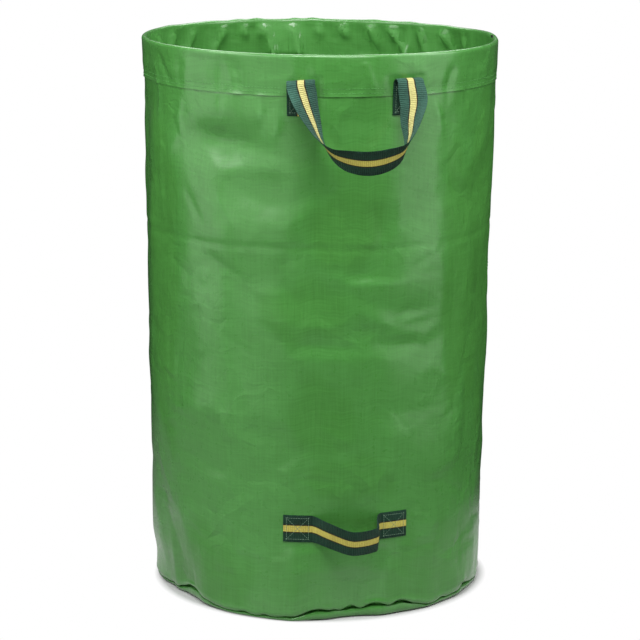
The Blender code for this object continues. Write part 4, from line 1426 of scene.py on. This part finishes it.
def across_places():
    """Places across the webbing, closer together at its selvedges."""
    even = np.linspace(-1.0, 1.0, 15)
    return np.sin(even * math.pi / 2 * 0.92) / math.sin(math.pi / 2 * 0.92) * WEBBING_WIDTH / 2


def half_thickness(places):
    """Half of the webbing's thickness, rounded off at its selvedges."""
    edge = np.abs(places) / (WEBBING_WIDTH / 2)
    return WEBBING_THICKNESS / 2 * np.sqrt(np.maximum(0.10, 1.0 - edge**14))


def under_lift_patch(angle, height):
    """The surface that a lift handle's end is sewn to: wall, then over the hem's edge."""
    climb = ease((height - (HEM_EDGE_HEIGHT - 0.007)) / 0.006)
    on_wall = wall_face(angle, np.minimum(height, HEM_EDGE_HEIGHT))
    on_hem = hem_face(angle, np.maximum(height, HEM_EDGE_HEIGHT))
    return on_wall + (on_hem - on_wall) * climb


def lift_patch(side, heights):
    """Stations of webbing sewn upright, with their normals. side is -1 left, 1 right."""
    places = across_places()
    centre = side * LIFT_PATCH_ANGLE
    at = centre - side * np.degrees(places / PATCH_RADIUS)
    angle, height = np.broadcast_arrays(at[None, :], heights[:, None])
    radius = under_lift_patch(angle, height) + SEWN_GAP + WEBBING_THICKNESS / 2
    return polar(angle, radius, height), -outward(angle)


def curl(sewn, free, width_start, width_end, steps=12):
    """The webbing's turn over the top of its sewn end."""
    part = np.arange(1, steps)[:, None] / steps
    middle, reach = (sewn + free) / 2, (free - sewn) / 2
    up = np.array([0.0, 0.0, np.linalg.norm(reach)])
    points = middle - reach * np.cos(math.pi * part) + up * np.sin(math.pi * part)
    return points, unit(width_start * (1.0 - part) + width_end * part)


def flat_stations(points, widths, ends, cupping):
    """Stations of free webbing, from its middle line and the way its width points."""
    places = across_places()
    line = np.concatenate([ends[:1], points, ends[1:]])
    along = directions(line)[1:-1]
    normal = unit(np.cross(along, widths))
    bulge = 1.0 - (places / (WEBBING_WIDTH / 2)) ** 2
    fade = np.sin(math.pi * np.linspace(0.0, 1.0, len(points))) ** 0.5
    stations = points[:, None] + widths[:, None] * places[None, :, None]
    stations = stations + normal[:, None] * (bulge[None, :, None] * cupping * fade[:, None, None])
    return stations, np.broadcast_to(normal[:, None], stations.shape)


def lift_handle(settings):
    """Stations of a whole lift handle, from one sewn end to the other."""
    smooth = smooth_rows(LIFT_LOOP, 10)
    loop, widths = smooth[:, :3], unit(smooth[:, 3:])
    heights = np.linspace(LIFT_PATCH_BOTTOM, LIFT_PATCH_TOP, 22)
    left, left_normal = lift_patch(-1, heights)
    right, right_normal = lift_patch(1, heights)
    middle = across_places().size // 2
    start, finish = left[-1, middle], right[-1, middle]
    rising, rising_w = curl(start, loop[0], tangent(np.array(-LIFT_PATCH_ANGLE)), widths[0])
    falling, falling_w = curl(finish, loop[-1], -tangent(np.array(LIFT_PATCH_ANGLE)), widths[-1])
    points = np.concatenate([rising, loop, falling[::-1]])
    across = np.concatenate([rising_w, widths, falling_w[::-1]])
    free, free_normal = flat_stations(points, across, np.array([start, finish]), settings.cupping)
    stations = np.concatenate([left, free, right[::-1]])
    normals = np.concatenate([left_normal, free_normal, right_normal[::-1]])
    return stations, normals


def tipping_angle(along):
    return TIPPING_ANGLE + np.degrees(along / WALL_RADIUS_LOW)


def tipping_patch(start, finish, count):
    """Stations of webbing sewn along the wall, with their normals."""
    places = across_places()
    at = tipping_angle(np.linspace(start, finish, count))
    angle, height = np.broadcast_arrays(at[:, None], (TIPPING_HEIGHT + places)[None, :])
    radius = wall_face(angle, height) + SEWN_GAP + WEBBING_THICKNESS / 2
    return polar(angle, radius, height), outward(angle)


def tipping_handle(settings):
    """Stations of the tipping handle from its left end to its right end."""
    start, leave, arrive, finish = [along / MM for along in TIPPING_ENDS]
    left, left_normal = tipping_patch(start, leave, 19)
    right, right_normal = tipping_patch(arrive, finish, 19)
    middle = across_places().size // 2
    rows = [[*left[-1, middle], 0.0, 0.0, 1.0]]
    for along, out, height, lean in TIPPING_BOW:
        at = tipping_angle(along)
        radius = float(plain_wall(np.array(at), np.array(height)))
        radius += 0.0003 + WEBBING_THICKNESS / 2 + out
        width = outward(np.array(at)) * math.sin(math.radians(lean))
        width[2] = math.cos(math.radians(lean))
        rows.append([*polar(at, radius, height), *width])
    rows.append([*right[0, middle], 0.0, 0.0, 1.0])
    smooth = smooth_rows(rows, 6)[1:-1]
    points, widths = smooth[:, :3], unit(smooth[:, 3:])
    ends = np.array([left[-1, middle], right[0, middle]])
    free, free_normal = flat_stations(points, widths, ends, settings.cupping)
    stations = np.concatenate([left, free, right])
    normals = np.concatenate([left_normal, free_normal, right_normal])
    return stations, normals


def webbing_mesh(name, stations, normals, sewn_face_near, half_turn=False):
    """A strip with rounded selvedges and cut ends through the stations. The face that is sewn
    down, which is the near one if so told, is shifted along in the UV map to tell it apart."""
    places = across_places()
    half = half_thickness(places)[None, :, None]
    near, far = stations + normals * half, stations - normals * half
    corners = np.concatenate([near, far[:, ::-1]], axis=1)
    if half_turn:
        corners = corners * HALF_TURN
    middle = places.size // 2
    run = np.linalg.norm(np.diff(stations[:, middle], axis=0), axis=1)
    along = np.concatenate([[0.0], np.cumsum(run)])
    across = np.concatenate([places, places[::-1]]) + WEBBING_WIDTH / 2
    size = across.size
    sewn_face = range(size // 2 - 1) if sewn_face_near else range(size // 2, size - 1)
    shape = bmesh.new()
    layer = shape.loops.layers.uv.new("cloth")
    rings = [[shape.verts.new(p) for p in ring] for ring in corners]
    for index, (here, there) in enumerate(zip(rings, rings[1:])):
        for k in range(size):
            j = (k + 1) % size
            face = shape.faces.new((here[k], here[j], there[j], there[k]))
            where = ((k, index), (j, index), (j, index + 1), (k, index + 1))
            back = FACE_SHIFT if k in sewn_face else 0.0
            for loop, (p, q) in zip(face.loops, where):
                loop[layer].uv = (across[p], along[q] + back)
    for ring, index in ((rings[0], 0), (rings[-1], len(rings) - 1)):
        face = shape.faces.new(ring)
        for loop, p in zip(face.loops, range(size)):
            loop[layer].uv = (across[p], along[index])
    mesh = mesh_from(shape, name)
    turn_out(mesh)
    return mesh, float(along[-1])


def webbing_finish():
    found = bpy.data.materials.get("ribbed webbing")
    return found or webbing_material(bpy.context.scene.garden_bag_webbing)


class GARDENBAG_OT_lift_handles(Operator):
    """Make the two lift handles that hang under the rim"""

    bl_idname = "garden_bag.lift_handles"
    bl_label = "Lift handles"

    def execute(self, context):
        stations, normals = lift_handle(context.scene.garden_bag_webbing)
        for name, node, half_turn in (
            ("front_lift_webbing", "front_lift_handle", False),
            ("rear_lift_webbing", "rear_lift_handle", True),
        ):
            mesh, length = webbing_mesh(name, stations, normals, True, half_turn)
            piece = add_piece(name, mesh, [webbing_finish()])
            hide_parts(node)
        return {"FINISHED"}


class GARDENBAG_OT_tipping_handle(Operator):
    """Make the tipping handle low on the front"""

    bl_idname = "garden_bag.tipping_handle"
    bl_label = "Tipping handle"

    def execute(self, context):
        stations, normals = tipping_handle(context.scene.garden_bag_webbing)
        mesh, length = webbing_mesh("tipping_webbing", stations, normals, False)
        piece = add_piece("tipping_webbing", mesh, [webbing_finish()])
        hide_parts("tipping_handle")
        return {"FINISHED"}


# ---- Stitching ----


def stitch_tree():
    """Geometry nodes that lay arched stitches along a line of sewing."""
    name = "Stitch rows"
    if name in bpy.data.node_groups:
        return bpy.data.node_groups[name]
    tree = bpy.data.node_groups.new(name, "GeometryNodeTree")
    for label, way, kind in (
        ("Geometry", "INPUT", "Geometry"),
        ("Pitch", "INPUT", "Float"),
        ("Stitch length", "INPUT", "Float"),
        ("Thread width", "INPUT", "Float"),
        ("Rise", "INPUT", "Float"),
        ("Thread", "INPUT", "Material"),
        ("Geometry", "OUTPUT", "Geometry"),
    ):
        tree.interface.new_socket(name=label, in_out=way, socket_type="NodeSocket" + kind)
    n = Nodes(tree)
    given = n.add("NodeGroupInput").outputs
    line = n.add("GeometryNodeMeshToCurve", {"Mesh": given["Geometry"]}).outputs[0]
    fed = {"Curve": line, "Length": given["Pitch"]}
    spots = n.add("GeometryNodeCurveToPoints", fed, mode="LENGTH").outputs

    half = n.math("MULTIPLY", given["Stitch length"], 0.5)
    arch = {"Resolution": 5}
    for label, side, up in (("Start", -1.0, -0.5), ("Middle", 0.0, 1.0), ("End", 1.0, -0.5)):
        fed = {0: n.math("MULTIPLY", half, side), 2: n.math("MULTIPLY", given["Rise"], up)}
        arch[label] = n.add("ShaderNodeCombineXYZ", fed).outputs[0]
    stitch = n.add("GeometryNodeCurveQuadraticBezier", arch).outputs[0]
    fed = {"Resolution": 6, "Radius": n.math("MULTIPLY", given["Thread width"], 0.5)}
    round_thread = n.add("GeometryNodeCurvePrimitiveCircle", fed).outputs[0]
    fed = {"Curve": stitch, "Profile Curve": round_thread, "Fill Caps": True}
    solid = n.add("GeometryNodeCurveToMesh", fed).outputs[0]

    kind = "FunctionNodeAlignRotationToVector"
    along = n.add(kind, {"Vector": spots["Tangent"]}, axis="X").outputs[0]
    fed = {"Name": "facing"}
    facing = n.add("GeometryNodeInputNamedAttribute", fed, data_type="FLOAT_VECTOR").outputs[0]
    fed = {"Rotation": along, "Vector": facing}
    upright = n.add(kind, fed, axis="Z", pivot_axis="X").outputs[0]
    fed = {"Min": (-0.05, -0.05, -0.09), "Max": (0.05, 0.05, 0.09), "Seed": 5}
    wobble = n.add("FunctionNodeRandomValue", fed, data_type="FLOAT_VECTOR").outputs[0]
    loose = n.add("FunctionNodeEulerToRotation", (wobble,)).outputs[0]
    fed = (upright, loose)
    lying = n.add("FunctionNodeRotateRotation", fed, rotation_space="LOCAL").outputs[0]

    fed = {"Points": spots["Points"], "Instance": solid, "Rotation": lying}
    placed = n.add("GeometryNodeInstanceOnPoints", fed).outputs[0]
    real = n.add("GeometryNodeRealizeInstances", (placed,)).outputs[0]
    smooth = n.add("GeometryNodeSetShadeSmooth", (real,)).outputs[0]
    fed = {"Geometry": smooth, "Material": given["Thread"]}
    coloured = n.add("GeometryNodeSetMaterial", fed).outputs[0]
    n.add("NodeGroupOutput", (coloured,))
    return tree


def sew(name, lines, thread, pitch, width):
    """One piece with the stitches along several lines. A line is (points, facing)."""
    points, facings, edges = [], [], []
    for line, facing in lines:
        first = len(points)
        points.extend(line)
        facings.extend(facing)
        edges.extend((first + i, first + i + 1) for i in range(len(line) - 1))
    mesh = bpy.data.meshes.new(name)
    mesh.from_pydata([tuple(p) for p in points], edges, [])
    layer = mesh.attributes.new("facing", "FLOAT_VECTOR", "POINT")
    layer.data.foreach_set("vector", np.array(facings, dtype=np.float32).reshape(-1))
    piece = new_object(name, mesh)
    rows = piece.modifiers.new("Stitch rows", "NODES")
    rows.node_group = stitch_tree()
    values = {
        "Pitch": pitch,
        "Stitch length": pitch * 0.80,
        "Thread width": width,
        "Rise": width * 0.9,
        "Thread": thread,
    }
    for item in rows.node_group.interface.items_tree:
        if item.item_type == "SOCKET" and item.in_out == "INPUT" and item.name in values:
            rows[item.identifier] = values[item.name]
    bake_modifiers(piece)
    if len(piece.data.polygons) == 0:
        raise RuntimeError(f"{name} has no stitches")
    if not piece.data.materials:
        piece.data.materials.append(thread)
    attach(piece, "root")
    return piece


def densify(corners, step):
    """Even points along a broken line of two numbers each."""
    corners = np.asarray(corners, float)
    found = []
    for a, b in zip(corners, corners[1:]):
        count = max(1, int(round(np.linalg.norm(b - a) / step)))
        found.extend(a + (b - a) * i / count for i in range(count))
    found.append(corners[-1])
    return np.array(found)


def box_and_cross(width, length):
    """A sewn box and the two lines of its cross, centred, as even points."""
    x, y = width / 2, length / 2
    box = ((-x, -y), (x, -y), (x, y), (-x, y), (-x, -y))
    return [densify(walk, BOX_STEP) for walk in (box, ((-x, -y), (x, y)), ((x, -y), (-x, y)))]


def sewn_line(angle, radius, height):
    """A line of sewing on a round surface, with the way its stitches face."""
    return polar(angle, radius, height), outward(angle)


class GARDENBAG_OT_stitching(Operator):
    """Sew the hem, the side seam and the ends of the webbing"""

    bl_idname = "garden_bag.stitching"
    bl_label = "Stitching"

    def execute(self, context):
        settings = context.scene.garden_bag_thread
        width, pitch = settings.thread_width, settings.pitch
        green = thread_material("hem thread", settings.hem_green)
        dark = thread_material("webbing thread", settings.webbing_green)

        hem_lines, seam_lines = [], []
        around = np.arange(720) * 0.5
        for above in HEM_ROWS:
            height = np.full_like(around, HEM_EDGE_HEIGHT + above)
            radius = hem_face(around, height) + 0.00012
            free = calm(around, height) > 0.5
            breaks = np.flatnonzero(np.diff(free.astype(int)))
            for part in np.split(np.arange(around.size), breaks + 1):
                if free[part[0]] and part.size >= 4:
                    hem_lines.append(sewn_line(around[part], radius[part], height[part]))
        up = np.linspace(0.030, 0.664, 300)
        for shift in SIDE_SEAM_ROWS:
            angle = np.full_like(up, SIDE_SEAM_ANGLE + math.degrees(shift / CLOTH_RADIUS))
            radius = wall_face(angle, up) + seam_step(angle) + 0.0001
            seam_lines.append(sewn_line(angle, radius, up))

        lift_lines, rear_lines, tipping_lines = [], [], []
        top = WEBBING_THICKNESS + SEWN_GAP
        for side in (-1, 1):
            for flat in box_and_cross(WEBBING_WIDTH - 0.008, 0.031):
                height = LIFT_BOX_HEIGHT + flat[:, 1]
                angle = side * LIFT_PATCH_ANGLE + np.degrees(flat[:, 0] / PATCH_RADIUS)
                radius = under_lift_patch(angle, height) + top
                points, facing = sewn_line(angle, radius, height)
                lift_lines.append((points, facing))
                rear_lines.append((points * HALF_TURN, facing * HALF_TURN))
        for ends in (TIPPING_ENDS[:2], TIPPING_ENDS[2:]):
            for flat in box_and_cross(0.0275, WEBBING_WIDTH - 0.0075):
                angle = tipping_angle(sum(ends) / (2 * MM) + flat[:, 0])
                height = TIPPING_HEIGHT + flat[:, 1]
                tipping_lines.append(sewn_line(angle, wall_face(angle, height) + top, height))

        for name, lines, thread, step, slot in (
            ("hem_stitches", hem_lines, green, pitch, "wall_fabric"),
            ("side_seam_stitches", seam_lines, green, pitch, "wall_fabric"),
            ("front_lift_stitches", lift_lines, dark, BOX_PITCH, "webbing"),
            ("rear_lift_stitches", rear_lines, dark, BOX_PITCH, "webbing"),
            ("tipping_stitches", tipping_lines, dark, BOX_PITCH, "webbing"),
        ):
            sew(name, lines, thread, step, width)
        return {"FINISHED"}


# ---- Floor, light and camera ----


def area_light(name, place, target, size, power):
    lamp = bpy.data.lights.new(name, "AREA")
    lamp.shape = "RECTANGLE"
    lamp.size, lamp.size_y = size
    lamp.energy = power
    made = new_object(name, lamp)
    made.location = place
    made.rotation_mode = "QUATERNION"
    made.rotation_quaternion = (Vector(target) - Vector(place)).to_track_quat("-Z", "Y")


def lit_background(tree, strength):
    """World light that shows white behind the bag and stays dim in its gloss."""
    tree.nodes.clear()
    n = Nodes(tree)
    path = n.add("ShaderNodeLightPath").outputs
    seen = n.math("MAXIMUM", path["Is Camera Ray"], path["Is Transmission Ray"])
    dim = n.math("MULTIPLY_ADD", path["Is Glossy Ray"], -0.7 * strength, strength)
    room = n.add("ShaderNodeBackground", (WHITE, dim))
    white = n.add("ShaderNodeBackground", (WHITE, 1.0))
    n.show("ShaderNodeOutputWorld", seen, room, white)


def floor_material(glow_centre):
    """White floor that keeps the bag's shadow and runs into the white background. What the cloth's
    gloss shows of it is brightest round the given point and dark far away: a painted pool of light
    that glows only in reflections."""
    made = bpy.data.materials.new("white floor")
    made.use_nodes = True
    made.node_tree.nodes.clear()
    n = Nodes(made.node_tree)
    place = n.add("ShaderNodeTexCoord").outputs["Object"]
    path = n.add("ShaderNodeLightPath").outputs
    gloss, far = path["Is Glossy Ray"], n.vector("LENGTH", place)
    # Painted light: in reflections the floor glows round glow_centre, though no lamp is there
    glow = n.math("MULTIPLY", n.vector("DISTANCE", place, glow_centre), gloss)
    glow = n.spread(glow, 0.20, 1.25, 1.0, 0.03)
    glow = n.math("MULTIPLY", glow, n.math("MULTIPLY_ADD", gloss, -0.65, 1.0))
    seen = n.math("MULTIPLY", path["Is Camera Ray"], n.spread(far, 0.2125, 0.2235))
    mirrored = n.math("MULTIPLY", gloss, n.spread(far, 0.30, 0.50))
    matt = n.add("ShaderNodeBsdfDiffuse", ((0.50, 0.50, 0.50, 1.0),))
    white = n.add("ShaderNodeEmission", (WHITE, glow))
    n.show("ShaderNodeOutputMaterial", n.math("MAXIMUM", seen, mirrored), matt, white)
    return made


class GARDENBAG_OT_stage(Operator):
    """Set out the floor, the lights and the camera"""

    bl_idname = "garden_bag.stage"
    bl_label = "Stage"

    def execute(self, context):
        settings = context.scene.garden_bag_stage
        scene = context.scene
        turn = settings.camera_turn

        def round_bag(azimuth, distance, height):
            a = turn + math.radians(azimuth)
            return (math.sin(a) * distance, -math.cos(a) * distance, height)

        shape = bmesh.new()
        bmesh.ops.create_circle(shape, cap_ends=True, segments=96, radius=6.0)
        mesh = mesh_from(shape, "studio_floor")
        mesh.materials.append(floor_material(round_bag(-50, 0.60, 0.0)))
        floor = new_object("studio_floor", mesh)
        floor.location.z = -0.0002

        aim, front, middle = (0.0, 0.0, 0.75), (0.0, -0.1, 0.74), (0.0, 0.0, 0.78)
        side_light = settings.side_light
        for name, azimuth, distance, height, target, size, power in (
            ("left_softbox", -74, 1.45, 0.86, aim, (0.74, 1.7), settings.left_light),
            ("middle_softbox", -35, 1.45, 0.86, aim, (1.0, 1.7), settings.middle_light),
            ("right_softbox", 66, 1.45, 0.87, aim, (1.14, 1.74), settings.right_light),
            ("top_softbox", 6, 1.15, 1.95, front, (1.3, 0.8), settings.top_light),
            ("high_softbox", -46, 1.45, 1.15, aim, (0.90, 0.6), 6.0),
            ("high_softbox", 22, 1.45, 1.25, aim, (0.45, 0.6), 2.0),
            ("high_softbox", 78, 1.45, 1.15, aim, (0.60, 0.6), 4.2),
            ("back_softbox", 180, 1.30, 2.10, aim, (2.0, 0.9), settings.back_light),
            ("side_softbox", -72, 1.00, 1.70, middle, (0.6, 0.5), side_light),
            ("side_softbox", 80, 1.00, 1.70, middle, (0.6, 0.5), side_light * 0.9),
        ):
            area_light(name, round_bag(azimuth, distance, height), target, size, power)

        world = bpy.data.worlds.new("white room")
        scene.world = world
        world.use_nodes = True
        lit_background(world.node_tree, settings.room_light)

        lens = bpy.data.cameras.new("photo_camera")
        lens.lens = settings.lens
        lens.sensor_width = 36.0
        lens.clip_start, lens.clip_end = 0.1, 50.0
        camera = new_object("photo_camera", lens)
        camera.location = round_bag(0.0, settings.camera_distance, settings.camera_height)
        camera.rotation_euler = (math.radians(90.0) - settings.camera_dip, 0.0, turn)
        scene.camera = camera
        scene.view_settings.view_transform = "Standard"
        return {"FINISHED"}


# ---- Panel and start ----

SETTINGS = (
    ("garden_bag_fabric", FabricSettings),
    ("garden_bag_webbing", WebbingSettings),
    ("garden_bag_thread", ThreadSettings),
    ("garden_bag_stage", StageSettings),
)
STEPS = (
    GARDENBAG_OT_rod,
    GARDENBAG_OT_wall,
    GARDENBAG_OT_base,
    GARDENBAG_OT_lift_handles,
    GARDENBAG_OT_tipping_handle,
    GARDENBAG_OT_stitching,
    GARDENBAG_OT_stage,
)


class GARDENBAG_PT_panel(Panel):
    """The bag's pieces and their settings"""

    bl_idname = "GARDENBAG_PT_panel"
    bl_label = "Garden Waste Bag"
    bl_space_type = "VIEW_3D"
    bl_region_type = "UI"
    bl_category = "Garden Bag"

    def draw(self, context):
        layout = self.layout
        for name, group in SETTINGS:
            box = layout.box()
            box.label(text=group.__doc__.rstrip("."))
            values = getattr(context.scene, name)
            for key in group.__annotations__:
                box.prop(values, key)
        for step in STEPS:
            layout.operator(step.bl_idname)


def register():
    for name, group in SETTINGS:
        bpy.utils.register_class(group)
        setattr(bpy.types.Scene, name, PointerProperty(type=group))
    for step in STEPS:
        bpy.utils.register_class(step)
    bpy.utils.register_class(GARDENBAG_PT_panel)


def unregister():
    bpy.utils.unregister_class(GARDENBAG_PT_panel)
    for step in reversed(STEPS):
        bpy.utils.unregister_class(step)
    for name, group in reversed(SETTINGS):
        delattr(bpy.types.Scene, name)
        bpy.utils.unregister_class(group)


def main():
    register()
    bpy.ops.garden_bag.rod()
    bpy.ops.garden_bag.wall()
    bpy.ops.garden_bag.base()
    bpy.ops.garden_bag.lift_handles()
    bpy.ops.garden_bag.tipping_handle()
    bpy.ops.garden_bag.stitching()
    bpy.ops.garden_bag.stage()


if __name__ == "__main__":
    main()
